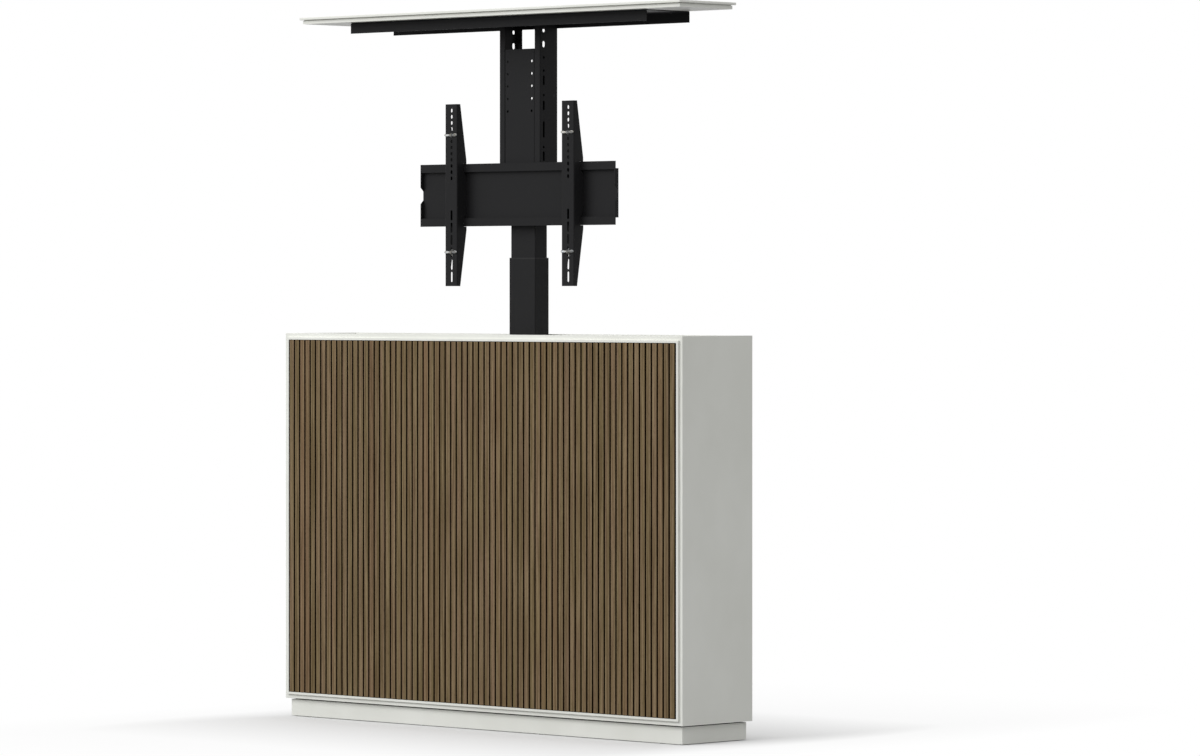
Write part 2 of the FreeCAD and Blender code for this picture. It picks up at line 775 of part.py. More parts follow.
def head_bracket():
    """Plate on the inner tube with an upturned flange against each side wall of the mast."""
    wall_x = mast_width / 2 - mast_sheet
    core_x = rail_half - rail_sheet - head_side_gap
    wing_y = mast_front_y + rail_flange + head_side_gap
    rear_y = mast_back_y - mast_sheet - head_gap
    bracket = box(-core_x, core_x, mast_front_y + rail_sheet, rear_y, inner_top, inner_top + head_plate)
    bracket = bracket.fuse(box(-wall_x, wall_x, wing_y, rear_y, inner_top, inner_top + head_plate))
    cuts = []
    for sign in (-1, 1):
        x0, x1 = sorted((sign * wall_x, sign * (wall_x - head_plate)))
        bracket = bracket.fuse(box(x0, x1, wing_y, rear_y, inner_top, inner_top + head_flange_height))
        cuts.append(rod(m6_radius + hole_clearance, (x0, head_bolt_y, head_bolt_z), (1, 0, 0), head_plate))
        cuts.append(rod(m6_radius, (sign * plug_bolt_x, column_y, inner_top), (0, 0, 1), head_plate))
    return bracket.removeSplitter().cut(group(cuts))


def tube_plug():
    """Block in the top of the inner tube that takes the head bracket's screws."""
    plug = column_bar(inner_width - 2 * tube_wall - 2 * block_clearance,
                      inner_depth - 2 * tube_wall - 2 * block_clearance,
                      inner_top - plug_height, inner_top, tube_corner - tube_wall)
    for sign in (-1, 1):
        plug = plug.cut(rod(m6_radius, (sign * plug_bolt_x, column_y, inner_top), (0, 0, -1), plug_height))
    return plug


def head_bolts():
    """Flush studs with nuts in the mast's walls, and bolts down into the tube's plug."""
    pieces = []
    grip = mast_sheet + head_plate
    for sign in (-1, 1):
        outside = (sign * mast_width / 2, head_bolt_y, head_bolt_z)
        pieces.append(rod(m6_radius, outside, (-sign, 0, 0), grip + m6_nut))
        inside = (sign * (mast_width / 2 - grip), head_bolt_y, head_bolt_z)
        pieces.append(hex_nut(inside, (-sign, 0, 0), m6_nut_radius, m6_nut, m6_radius))
        top = (sign * plug_bolt_x, column_y, inner_top + head_plate)
        length = head_plate + plug_height - plug_bolt_margin
        pieces.append(bolt(top, (0, 0, -1), m6_radius, length, m6_head_radius, m6_head))
    return group(pieces)


# ---------------------------------------------------------------- screen plate and arms
def plate_stud_places():
    """Centres of the four studs welded to the back of the plate."""
    x = mast_width / 2 - mast_lip / 2
    return [(sx * x, plate_z + sz * plate_stud_z) for sx in (-1, 1) for sz in (-1, 1)]


def screen_plate():
    """Wide sheet with a raised strip along the top and the bottom and a flange at each end."""
    half = plate_length / 2
    half_height = plate_height / 2
    plate = box(-half, half, plate_web_y, mast_front_y, plate_z - half_height + strip_height - plate_sheet,
                plate_z + half_height - strip_height + plate_sheet)
    for sign in (-1, 1):
        z0, z1 = sorted((plate_z + sign * half_height, plate_z + sign * (half_height - strip_height)))
        plate = plate.fuse(box(-half, half, strip_front_y, strip_front_y + plate_sheet, z0, z1))
        edge = plate_z + sign * (half_height - strip_height)
        z0, z1 = sorted((edge, edge + sign * plate_sheet))
        plate = plate.fuse(box(-half, half, strip_front_y, mast_front_y, z0, z1))
        x0, x1 = sorted((sign * half, sign * (half - plate_sheet)))
        plate = plate.fuse(box(x0, x1, strip_front_y, mast_front_y, plate_z - half_height + strip_height,
                               plate_z + half_height - strip_height))
    plate = plate.removeSplitter()
    notch = prism([(-half, strip_front_y, plate_z - notch_mouth / 2),
                   (-half, strip_front_y, plate_z + notch_mouth / 2),
                   (-half, plate_web_y, plate_z + notch_floor / 2),
                   (-half, plate_web_y, plate_z - notch_floor / 2)], (plate_length, 0, 0))
    return plate.cut(notch)


def plate_studs():
    """Studs from the back of the plate through the mast's front lips, with their nuts."""
    pieces = []
    for x, z in plate_stud_places():
        pieces.append(rod(m8_radius, (x, mast_front_y, z), (0, 1, 0), mast_sheet + m8_nut))
        pieces.append(hex_nut((x, mast_front_y + mast_sheet, z), (0, 1, 0), m8_nut_radius, m8_nut, m8_radius))
    return group(pieces)


def arm_web_profile(x):
    """Side view of an arm: tapered webs that hook over the plate's upper strip."""
    half = arm_height / 2
    plate_half = plate_height / 2
    clear = arm_clearance
    seat = arm_standoff - clear
    reach = arm_standoff + arm_reach
    finger = arm_standoff + plate_sheet + clear
    strip = strip_height + clear
    outline = [
        (0, half), (arm_end_depth, half),
        (finger + hook_thickness, plate_half + arm_reach),
        (finger + hook_thickness, plate_half - hook_length), (finger, plate_half - hook_length),
        (finger, plate_half + clear), (seat, plate_half + clear),
        (seat, plate_half - strip), (reach, plate_half - strip - arm_reach),
        (reach, strip + arm_reach - plate_half), (seat, strip - plate_half), (seat, -plate_half - clear),
        (reach, -plate_half - clear), (reach, -plate_half - arm_reach),
        (arm_end_depth, -half), (0, -half),
    ]
    points = [(x - arm_left, arm_face_y + depth, plate_z + rise) for depth, rise in outline]
    return prism(points, (arm_left + arm_right, 0, 0))


def short_slot_z(row):
    """Height of a short slot, counted from the top of the arm."""
    return plate_z + arm_height / 2 - short_slot_margin - row * short_slot_pitch


def long_slot_z(row):
    """Height of a long slot, counted from the bottom of the arm."""
    return plate_z - arm_height / 2 + long_slot_margin + row * long_slot_pitch


def screen_arm(x):
    """Folded channel with short slots above and long slots below, hooked on the plate."""
    depth = arm_standoff + arm_reach + arm_clearance + hook_thickness
    z0, z1 = plate_z - arm_height / 2, plate_z + arm_height / 2
    x0, x1 = x - arm_left, x + arm_right
    outer = box(x0, x1, arm_face_y, arm_face_y + depth, z0, z1)
    outer = round_edges(outer, (0, 0, 1), arm_bend, lambda middle: middle.y < arm_face_y + arm_sheet)
    inner = box(x0 + arm_sheet, x1 - arm_sheet, arm_face_y + arm_sheet, arm_face_y + depth, z0, z1)
    inner = round_edges(inner, (0, 0, 1), arm_bend - arm_sheet,
                        lambda middle: middle.y < arm_face_y + 2 * arm_sheet)
    arm = outer.cut(inner).common(arm_web_profile(x))
    slots = [slot_along_y(x, short_slot_z(row), arm_slot_width, short_slot_length, arm_face_y,
                          arm_face_y + arm_sheet) for row in range(short_slot_count)]
    slots += [slot_along_y(x, long_slot_z(row), arm_slot_width, long_slot_length, arm_face_y,
                           arm_face_y + arm_sheet) for row in range(long_slot_count)]
    return arm.cut(group(slots))


def wing_heights():
    """Heights of the upper and the lower wing screw."""
    return {"upper": short_slot_z(wing_short_row), "lower": long_slot_z(wing_long_row)}


def wing_screw(x, z):
    """Wing screw through an arm's slot, turned so that both of its wings sweep up."""
    face = arm_face_y
    shank = rod(wing_thread_radius, (x, face, z), (0, 1, 0), arm_sheet + wing_nut + wing_tail)
    collar = rod(wing_collar_radius, (x, face, z), (0, -1, 0), wing_collar)
    hub = Part.makeCone(wing_hub_radius, wing_hub_end_radius, wing_hub, Vector(x, face, z), Vector(0, -1, 0))
    front = face - wing_hub + wing_inset
    half = wing_span / 2
    tip = half - wing_tip
    under = [Vector(x - half, front, z + wing_rise), Vector(x, front, z - wing_belly),
             Vector(x + half, front, z + wing_rise)]
    over = [Vector(x + tip, front, z + wing_rise + wing_tip), Vector(x, front, z + wing_saddle),
            Vector(x - tip, front, z + wing_rise + wing_tip)]
    outline = Part.Wire([Part.Arc(*under).toShape(), Part.makeLine(under[2], over[0]),
                         Part.Arc(*over).toShape(), Part.makeLine(over[2], under[0])])
    wings = Part.Face(outline).extrude(Vector(0, wing_depth, 0))
    return shank.fuse(collar).fuse(hub).fuse(wings).removeSplitter()


def arm_nuts(x):
    """Square nuts behind an arm's face, one on each wing screw."""
    back = arm_face_y + arm_sheet
    half = wing_nut_width / 2
    nuts = []
    for z in wing_heights().values():
        nut = box(x - half, x + half, back, back + wing_nut, z - half, z + half)
        nuts.append(nut.cut(rod(wing_thread_radius + thread_clearance, (x, back, z), (0, 1, 0), wing_nut)))
    return group(nuts)


# ---------------------------------------------------------------- column
def base_bolt_places():
    """Centres of the bolts that hold the column's foot to the bottom board."""
    return [(sx * base_bolt_x, column_y + sy * base_bolt_y) for sx in (-1, 1) for sy in (-1, 1)]


def lift_base_plate():
    """Steel foot of the column."""
    plate = box(-base_width / 2, base_width / 2, column_y - base_depth / 2, column_y + base_depth / 2,
                bay_floor, bay_floor + base_plate)
    plate = round_edges(plate, (0, 0, 1), tube_corner)
    return plate.cut(group([rod(m8_radius + hole_clearance, (x, y, bay_floor), (0, 0, 1), base_plate)
                            for x, y in base_bolt_places()]))


def base_bolts():
    """Bolts through the foot into the bottom board."""
    return [bolt((x, y, fixed_bottom), (0, 0, -1), m8_radius, base_plate + base_bolt_bite,
                 m8_head_radius, m8_head) for x, y in base_bolt_places()]


def gear_motor():
    """Tubular motor with its gearbox, standing in the foot of the fixed tube."""
    motor = rod(motor_radius, (0, column_y, fixed_bottom), (0, 0, 1), motor_length)
    return motor.makeFillet(motor_round, [edge for edge in motor.Edges
                                          if edge.Curve.TypeId == "Part::GeomCircle"
                                          and edge.CenterOfMass.z > motor_top - motor_round])


def motor_coupling():
    """Sleeve that joins the motor's output to the lower screw."""
    sleeve = rod(coupling_radius, (0, column_y, motor_top + coupling_gap), (0, 0, 1), coupling_length)
    return sleeve.cut(rod(journal_radius, (0, column_y, coupling_top), (0, 0, -1), coupling_grip))


def lower_bearing():
    """Bearing block that carries the lower screw's shoulder, fixed in the outer tube."""
    return column_block(fixed_width - 2 * tube_wall, fixed_depth - 2 * tube_wall, bearing_bottom,
                        bearing_height, journal_radius + running_clearance)


def lower_screw():
    """Screw that raises the middle tube, with the head that drives the hollow upper screw."""
    foot = coupling_top - coupling_grip
    head_bottom = block_top + upper_collar + drive_head_rise
    journal = rod(journal_radius, (0, column_y, foot), (0, 0, 1), bearing_top - foot)
    thread = rod(screw_radius, (0, column_y, bearing_top), (0, 0, 1), head_bottom - bearing_top)
    head = rod(drive_head_radius, (0, column_y, head_bottom), (0, 0, 1), drive_head_length)
    return journal.fuse(thread).fuse(head)


def upper_screw():
    """Hollow screw carried by the middle tube, which raises the inner tube."""
    journal = rod(upper_journal_radius, (0, column_y, block_bottom), (0, 0, 1), block_height)
    collar = rod(upper_collar_radius, (0, column_y, block_top), (0, 0, 1), upper_collar)
    thread = rod(upper_screw_radius, (0, column_y, block_top), (0, 0, 1), upper_screw_top - block_top)
    bore = rod(upper_bore_radius, (0, column_y, block_bottom), (0, 0, 1), upper_screw_top - block_bottom)
    return journal.fuse(collar).fuse(thread).cut(bore)


def middle_collar():
    """Plastic collar flush on the top of the middle tube, with a thin spigot down inside it."""
    seat = middle_top - collar_height
    rim = column_bar(middle_width, middle_depth, seat, middle_top, tube_corner)
    inside = 2 * (tube_wall + block_clearance)
    spigot = column_bar(middle_width - inside, middle_depth - inside, seat - collar_spigot, seat,
                        tube_corner - tube_wall)
    hole = column_bar(inner_width + 2 * collar_gap, inner_depth + 2 * collar_gap,
                      seat - collar_spigot, middle_top, tube_corner + collar_gap)
    return rim.fuse(spigot).cut(hole)


def fixed_tube():
    """Outer tube of the column, which stands on the foot and takes the brace's screws."""
    tube = column_tube(fixed_width, fixed_depth, fixed_bottom, fixed_top)
    return tube.cut(group([brace_screw(x) for x in (-brace_bolt_x, brace_bolt_x)]))


def column_pieces():
    """Tubes, pads, screws, nuts and bearings of the telescopic column."""
    middle_tube_top = middle_top - collar_height
    inside = 2 * tube_wall
    fixed_pads = glide_pads(fixed_width - inside, fixed_depth - inside, fixed_top - pad_end - pad_length, -1)
    middle_pads = glide_pads(middle_width, middle_depth, middle_bottom + pad_end, 1)
    middle_pads += glide_pads(middle_width - inside, middle_depth - inside,
                              middle_tube_top - pad_end - pad_length, -1)
    return {
        "fixed_tube": fixed_tube(),
        "fixed_tube_glides": group(fixed_pads),
        "middle_tube": column_tube(middle_width, middle_depth, middle_bottom, middle_tube_top),
        "middle_tube_glides": group(middle_pads),
        "middle_tube_collar": middle_collar(),
        "inner_tube": column_tube(inner_width, inner_depth, inner_bottom, inner_top),
        "inner_tube_glides": group(glide_pads(inner_width, inner_depth, inner_bottom + pad_end, 1)),
        "lower_nut": column_block(middle_width - inside, middle_depth - inside, middle_bottom, nut_height,
                                  screw_radius + running_clearance),
        "upper_bearing": column_block(middle_width - inside, middle_depth - inside, block_bottom,
                                      block_height, upper_journal_radius + running_clearance),
        "upper_nut": column_block(inner_width - inside, inner_depth - inside, inner_bottom, nut_height,
                                  upper_screw_radius + running_clearance),
    }


def column_brace():
    """Block between the fixed tube and the rear rail."""
    tube_y = column_y + fixed_depth / 2
    z = rear_rail_middle()
    block = box(-brace_width / 2, brace_width / 2, tube_y, rear_rail_front_y,
                z - brace_height / 2, z + brace_height / 2)
    return block.cut(group([brace_screw(x) for x in (-brace_bolt_x, brace_bolt_x)]))


def brace_screw(x):
    """Countersunk screw from behind the rear rail, through the brace block into the fixed tube."""
    z = rear_rail_middle()
    inner_face_y = column_y + fixed_depth / 2 - tube_wall
    cone = Part.makeCone(m6_head_radius, m6_radius, m6_head, Vector(x, back_inner_y, z), Vector(0, -1, 0))
    return cone.fuse(rod(m6_radius, (x, back_inner_y, z), (0, -1, 0), back_inner_y - inner_face_y))


def column_bolts():
    """Bolts that hold the column's foot to the bottom board and its brace to the rear rail."""
    return group(base_bolts() + [brace_screw(x) for x in (-brace_bolt_x, brace_bolt_x)])


# ---------------------------------------------------------------- control box
def box_y():
    """Front and rear faces of the control box."""
    return front_y + box_setback, front_y + box_setback + box_depth


def rocker_centre():
    """Pivot of the rocker, in the middle of the well in the box's top."""
    y0, y1 = box_y()
    return Vector(box_x, (y0 + y1) / 2, bay_floor + box_height - rocker_well / 2)


def control_box():
    """Closed control box on the bottom board, with a well for its rocker."""
    y0, y1 = box_y()
    x0, x1 = box_x - box_width / 2, box_x + box_width / 2
    top = bay_floor + box_height
    case = box(x0, x1, y0, y1, bay_floor, top)
    case = round_edges(case, (0, 0, 1), box_round)
    hollow = box(x0 + box_wall, x1 - box_wall, y0 + box_wall, y1 - box_wall, bay_floor + box_wall,
                 top - rocker_well - 2 * box_wall)
    centre = rocker_centre()
    reach = rocker_length / 2 + rocker_gap
    side = rocker_width / 2 + rocker_gap
    well = box(centre.x - reach, centre.x + reach, centre.y - side, centre.y + side, top - rocker_well, top)
    ears = rod(rocker_pin_radius + thread_clearance, (centre.x, centre.y - side - rocker_pin_bite, centre.z),
               (0, 1, 0), 2 * (side + rocker_pin_bite))
    return case.cut(hollow).cut(well).cut(ears)


def rocker():
    """Up and down rocker with its two trunnions."""
    centre = rocker_centre()
    half = rocker_length / 2
    top = rocker_well / 2
    outline = [(-half, top), (-half, rocker_relief - top), (0, rocker_gap - top),
               (half, rocker_relief - top), (half, top), (half - rocker_pad, top + rocker_rise),
               (0, top + rocker_rise / 2), (rocker_pad - half, top + rocker_rise)]
    points = [(centre.x + x, centre.y - rocker_width / 2, centre.z + z) for x, z in outline]
    key = prism(points, (0, rocker_width, 0))
    reach = rocker_width / 2 + rocker_gap + rocker_pin_bite - thread_clearance
    return key.fuse(rod(rocker_pin_radius, (centre.x, centre.y - reach, centre.z), (0, 1, 0), 2 * reach))


# ---------------------------------------------------------------- all pieces
def all_pieces():
    """Every named piece of the cabinet."""
    pieces = {}
    pieces.update(plinth_boards())
    pieces["plinth_glides"] = plinth_glides()
    pieces["plinth_corner_blocks"] = plinth_corner_blocks()
    pieces.update(carcass_boards())
    pieces["corner_angles"] = corner_angles()
    pieces["rear_rail"] = rear_rail()
    pieces["back_panel"] = back_panel()
    pieces["back_panel_screws"] = back_panel_screws()
    pieces["cable_outlet"] = panel_ring(outlet_x, bay_floor + outlet_rise, outlet_radius, outlet_wall,
                                        outlet_flange)
    pieces["mains_gland"] = panel_ring(gland_x, bay_floor + gland_rise, gland_radius, gland_wall,
                                       gland_flange)
    pieces["front_panel"] = front_panel()
    pieces["slat_backing"] = slat_backing()
    pieces["front_slats"] = front_slats()
    pieces["lid_board"] = lid_board()
    pieces["lid_carrier"] = lid_carrier()
    pieces["lid_screws"] = lid_screws()
    pieces["mast_channel_right"] = mast_channel(mast_y - wall_opening_y)
    pieces["mast_channel_left"] = mirrored_x(mast_channel(mast_y + wall_opening_y))
    pieces["mast_rail"] = mast_rail()
    pieces["mast_top_plate"] = mast_top_plate()
    pieces["mast_bolts"] = mast_bolts()
    pieces["head_bracket"] = head_bracket()
    pieces["head_bolts"] = head_bolts()
    pieces["tube_plug"] = tube_plug()
    pieces["screen_plate"] = screen_plate()
    pieces["plate_studs"] = plate_studs()
    for side, x in (("left", -arm_spacing / 2), ("right", arm_spacing / 2)):
        pieces[side + "_arm"] = screen_arm(x)
        pieces[side + "_arm_nuts"] = arm_nuts(x)
        for level, z in wing_heights().items():
            pieces["wing_screw_" + level + "_" + side] = wing_screw(x, z)
    pieces["lift_base_plate"] = lift_base_plate()
    pieces["gear_motor"] = gear_motor()
    pieces["motor_coupling"] = motor_coupling()
    pieces["lower_bearing"] = lower_bearing()
    pieces["lower_screw"] = lower_screw()
    pieces["upper_screw"] = upper_screw()
    pieces.update(column_pieces())
    pieces["column_brace"] = column_brace()
    pieces["column_bolts"] = column_bolts()
    pieces["control_box"] = control_box()
    pieces["rocker"] = rocker()
    return pieces


for name, shape in all_pieces().items():
    shape.exportStep("parts/" + name + ".step")
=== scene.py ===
"""Dresses the raised TV lift cabinet: lacquered carcass, slatted front, coated steel lift and zinc hardware.

Everything is in metres in the frame of the solids.  Sizes that are written in millimetres carry MM.
"""
import logging
import math
from dataclasses import dataclass
from enum import Enum

import bmesh
import bpy
import numpy as np
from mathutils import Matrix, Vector


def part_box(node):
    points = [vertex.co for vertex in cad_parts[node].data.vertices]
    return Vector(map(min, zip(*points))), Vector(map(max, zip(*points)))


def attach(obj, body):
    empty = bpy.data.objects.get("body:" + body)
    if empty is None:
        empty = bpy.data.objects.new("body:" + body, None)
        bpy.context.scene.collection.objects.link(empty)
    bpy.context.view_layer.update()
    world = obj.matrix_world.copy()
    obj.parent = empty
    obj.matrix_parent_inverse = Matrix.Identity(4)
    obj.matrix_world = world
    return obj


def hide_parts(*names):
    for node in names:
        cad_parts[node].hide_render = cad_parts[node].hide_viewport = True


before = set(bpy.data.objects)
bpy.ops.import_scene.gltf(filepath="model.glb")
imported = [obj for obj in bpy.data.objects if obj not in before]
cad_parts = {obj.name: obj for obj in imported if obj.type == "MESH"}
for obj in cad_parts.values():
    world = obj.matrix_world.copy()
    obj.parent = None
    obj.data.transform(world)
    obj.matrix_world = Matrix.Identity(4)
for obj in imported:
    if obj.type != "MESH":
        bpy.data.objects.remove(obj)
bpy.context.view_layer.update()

LOG = logging.getLogger("lift_cabinet")
MM = 0.001
UP = (0.0, 0.0, 1.0)
DOWN = (0.0, 0.0, -1.0)
FORWARD = (0.0, -1.0, 0.0)
BACKWARD = (0.0, 1.0, 0.0)
Links = dict[str | int, object]


# ---------------------------------------------------------------- shader helpers
def linear(code: str) -> tuple[float, float, float, float]:
    """Turn an sRGB hex code into a linear colour.

    Args:
        code: six hex digits after a hash.

    Returns:
        Linear red, green, blue and an alpha of one.
    """
    values = [int(code[i:i + 2], 16) / 255 for i in (1, 3, 5)]
    bent = [v / 12.92 if v <= 0.04045 else ((v + 0.055) / 1.055) ** 2.4 for v in values]
    return bent[0], bent[1], bent[2], 1.0


def add_node(tree: bpy.types.NodeTree, kind: str, inputs: Links | None = None,
             **settings: object) -> bpy.types.Node:
    """Add one shader node with its settings and its inputs.

    Args:
        tree: node tree that receives the node.
        kind: Blender's type name of the node.
        inputs: a value or an output socket for each named or numbered input.
        settings: properties of the node.

    Returns:
        The new node.
    """
    node = tree.nodes.new(kind)
    for name, value in settings.items():
        setattr(node, name, value)
    for key, value in (inputs or {}).items():
        if isinstance(value, bpy.types.NodeSocket):
            tree.links.new(value, node.inputs[key])
        else:
            node.inputs[key].default_value = value
    return node


class Recipe:
    """Node tree of one material, with short names for the steps that every finish repeats."""

    def __init__(self, name: str) -> None:
        """Start an empty material with object coordinates."""
        self.material = bpy.data.materials.new(name)
        self.material.use_nodes = True
        self.tree = self.material.node_tree
        self.tree.nodes.clear()
        self.place = self.add("ShaderNodeTexCoord").outputs["Object"]

    def add(self, kind: str, inputs: Links | None = None, **settings: object) -> bpy.types.Node:
        """Add a node to this material."""
        return add_node(self.tree, kind, inputs, **settings)

    def stretched(self, sizes_mm: tuple[float, float, float], place: object = None) -> bpy.types.NodeSocket:
        """Scale the coordinates so that one unit is a feature's size along each axis.

        Args:
            sizes_mm: size of a feature along X, Y and Z.
            place: coordinates to start from, or the object's own.

        Returns:
            The scaled coordinates.
        """
        scale = tuple(1.0 / (size * MM) for size in sizes_mm)
        inputs = {"Vector": place or self.place, "Scale": scale}
        return self.add("ShaderNodeMapping", inputs, vector_type="POINT").outputs["Vector"]

    def noise(self, sizes_mm: tuple[float, float, float], detail: float = 2.0,
              place: object = None) -> bpy.types.NodeSocket:
        """Make a smooth random value from 0 to 1 whose features have the given sizes."""
        inputs = {"Vector": self.stretched(sizes_mm, place), "Scale": 1.0, "Detail": detail}
        return self.add("ShaderNodeTexNoise", inputs, noise_dimensions="3D").outputs["Fac"]

    def remap(self, value: bpy.types.NodeSocket, low: float, high: float,
              to_low: float = 0.0, to_high: float = 1.0) -> bpy.types.NodeSocket:
        """Stretch the part of a value between low and high to a new range, and clamp it there."""
        inputs = {"Value": value, "From Min": low, "From Max": high, "To Min": to_low, "To Max": to_high}
        return self.add("ShaderNodeMapRange", inputs, clamp=True).outputs["Result"]

    def math(self, operation: str, first: object, second: object = 0.0) -> bpy.types.NodeSocket:
        """Combine two values with one operation."""
        return self.add("ShaderNodeMath", {0: first, 1: second}, operation=operation).outputs[0]

    def blend(self, share: object, first: object, second: object) -> bpy.types.NodeSocket:
        """Mix two colours, the second by the share."""
        inputs = {0: share, 6: first, 7: second}
        return self.add("ShaderNodeMix", inputs, data_type="RGBA").outputs[2]

    def bump(self, height: bpy.types.NodeSocket, depth_mm: float) -> bpy.types.NodeSocket:
        """Turn a height into a normal."""
        inputs = {"Height": height, "Strength": 1.0, "Distance": depth_mm * MM}
        return self.add("ShaderNodeBump", inputs).outputs["Normal"]

    def finish(self, **sockets: object) -> bpy.types.Material:
        """Close the tree with a principled shader.

        Args:
            sockets: values or links for the shader's inputs, with underscores for spaces.

        Returns:
            The finished material.
        """
        inputs = {name.replace("_", " "): value for name, value in sockets.items()}
        shader = self.add("ShaderNodeBsdfPrincipled", inputs)
        self.add("ShaderNodeOutputMaterial", {"Surface": shader.outputs["BSDF"]})
        return self.material


# ---------------------------------------------------------------- finishes
@dataclass(frozen=True)
class SatinLacquer:
    """Sprayed satin polyurethane lacquer on board: an even warm white with a faint orange peel."""

    name: str = "satin_white_lacquer"
    colour: str = "#F1F2EC"
    shade: str = "#EAEBE4"
    peel_mm: float = 2.5
    gloss: float = 0.25

    def build(self) -> bpy.types.Material:
        """Mix two near whites in broad clouds and raise a shallow orange peel.

        Returns:
            The material of this finish.
        """
        recipe = Recipe(self.name)
        clouds = recipe.noise((180, 180, 260), 3.0)
        peel = recipe.noise((self.peel_mm,) * 3, 1.0)
        fine = recipe.noise((0.6, 0.6, 0.6), 2.0)
        colour = recipe.blend(recipe.remap(clouds, 0.35, 0.7), linear(self.colour), linear(self.shade))
        rough = recipe.remap(fine, 0.3, 0.7, 0.34, 0.42)
        return recipe.finish(Base_Color=colour, Roughness=rough, IOR=1.49, Specular_IOR_Level=self.gloss,
                             Normal=recipe.bump(peel, 0.012))


@dataclass(frozen=True)
class RebatedLacquer(SatinLacquer):
    """The same lacquer with the rebate along the plinth's top coloured near black: painted shade, standing in
    for the shadow in the rebate.

    The rebate is the height of its foot above the floor in metres.
    """

    name: str = "satin_white_lacquer_painted_rebate_shade"
    rebate: float = 0.0419
    # near black painted shade for the plinth's rebate
    black: str = "#060606"

    def build(self) -> bpy.types.Material:
        """Mix the lacquer's whites as before and paint the faces above the foot of the rebate near black, as
        painted shade.

        Returns:
            The material of this finish.
        """
        recipe = Recipe(self.name)
        height = recipe.add("ShaderNodeSeparateXYZ", {"Vector": recipe.place}).outputs["Z"]
        rebate_shade_mask = recipe.math("GREATER_THAN", height, self.rebate)
        clouds = recipe.noise((180, 180, 260), 3.0)
        colour = recipe.blend(recipe.remap(clouds, 0.35, 0.7), linear(self.colour), linear(self.shade))
        # painted shade: above the rebate's foot the colour turns near black, in place of the shadow inside
        # the rebate
        colour = recipe.blend(rebate_shade_mask, colour, linear(self.black))
        rough = recipe.remap(rebate_shade_mask, 0.0, 1.0, 0.38, 0.8)
        return recipe.finish(Base_Color=colour, Roughness=rough, IOR=1.49, Specular_IOR_Level=self.gloss,
                             Normal=recipe.bump(recipe.noise((self.peel_mm,) * 3, 1.0), 0.012))


@dataclass(frozen=True)
class StainedWalnut:
    """Matt stained walnut veneer on slats: every slat its own tone, long grain, open pores, and near-black
    sides that are a dark core plus painted shade of the grooves.

    Pitch is the slats' spacing and start the left end of the first spacing, in metres across the front.
    """

    name: str = "stained_walnut_veneer"
    pitch: float = 0.019177
    start: float = -0.6616
    olive: str = "#78684A"
    taupe: str = "#867059"
    deep: str = "#50402A"
    light: str = "#9E8C6C"
    red: str = "#876A50"
    # near black: the fill of the pores, and on faces not turned to the front a dark core plus painted shade
    # of the grooves
    core_and_groove_shade: str = "#140901"

    def build(self) -> bpy.types.Material:
        """Give each slat a random tone by its number across the front, add grain and pores, and paint every
        face not turned to the front near black, a dark core plus painted groove shade.

        Returns:
            The material of this finish.
        """
        recipe = Recipe(self.name)
        axes = recipe.add("ShaderNodeSeparateXYZ", {"Vector": recipe.place}).outputs
        number = recipe.math("FLOOR", recipe.math("DIVIDE", recipe.math("SUBTRACT", axes["X"], self.start),
                                                  self.pitch))
        dice = recipe.add("ShaderNodeTexWhiteNoise", {"W": number}, noise_dimensions="1D").outputs
        draws = recipe.add("ShaderNodeSeparateColor", {"Color": dice["Color"]}).outputs
        shift = recipe.add("ShaderNodeCombineXYZ", {"X": axes["X"], "Z": axes["Z"],
                                                    "Y": recipe.math("MULTIPLY", dice["Value"], 9.0)})
        shift = shift.outputs["Vector"]
        drift = recipe.noise((7, 1000, 300), 2.0, shift)
        streaks = recipe.noise((2.6, 1000, 170), 3.0, shift)
        glints = recipe.noise((3.4, 1000, 240), 2.0, shift)
        fibres = recipe.noise((1.1, 1000, 32), 3.0, shift)
        pores = recipe.noise((0.8, 1000, 11), 1.0, shift)
        tone = recipe.math("ADD", recipe.remap(draws["Red"], 0.0, 1.0, -0.35, 0.35),
                           recipe.remap(drift, 0.38, 0.62))
        base = recipe.blend(tone, linear(self.olive), linear(self.taupe))
        base = recipe.blend(recipe.remap(draws["Blue"], 0.75, 1.0, 0.0, 0.5), base, linear(self.red))
        base = recipe.blend(recipe.remap(draws["Green"], 0.5, 1.0, 0.0, 0.35), base, linear(self.deep))
        base = recipe.blend(recipe.remap(streaks, 0.46, 0.66, 0.0, 0.62), base, linear(self.deep))
        base = recipe.blend(recipe.remap(glints, 0.48, 0.68, 0.0, 0.55), base, linear(self.light))
        base = recipe.blend(recipe.remap(fibres, 0.5, 0.75, 0.0, 0.35), base, linear(self.deep))
        base = recipe.blend(recipe.remap(pores, 0.6, 0.74, 0.0, 0.5), base, linear(self.core_and_groove_shade))
        facing = recipe.add("ShaderNodeSeparateXYZ",
                            {"Vector": recipe.add("ShaderNodeTexCoord").outputs["Normal"]}).outputs["Y"]
        # painted shade: faces not turned to the front are blended to near black, a dark core plus the shade
        # of the grooves between slats
        base = recipe.blend(recipe.remap(facing, -0.75, -0.35), base, linear(self.core_and_groove_shade))
        normal = recipe.bump(recipe.math("SUBTRACT", fibres, recipe.math("MULTIPLY", pores, 0.8)), 0.05)
        return recipe.finish(Base_Color=base, Roughness=recipe.remap(fibres, 0.3, 0.7, 0.55, 0.68), IOR=1.48,
                             Specular_IOR_Level=0.04, Normal=normal)


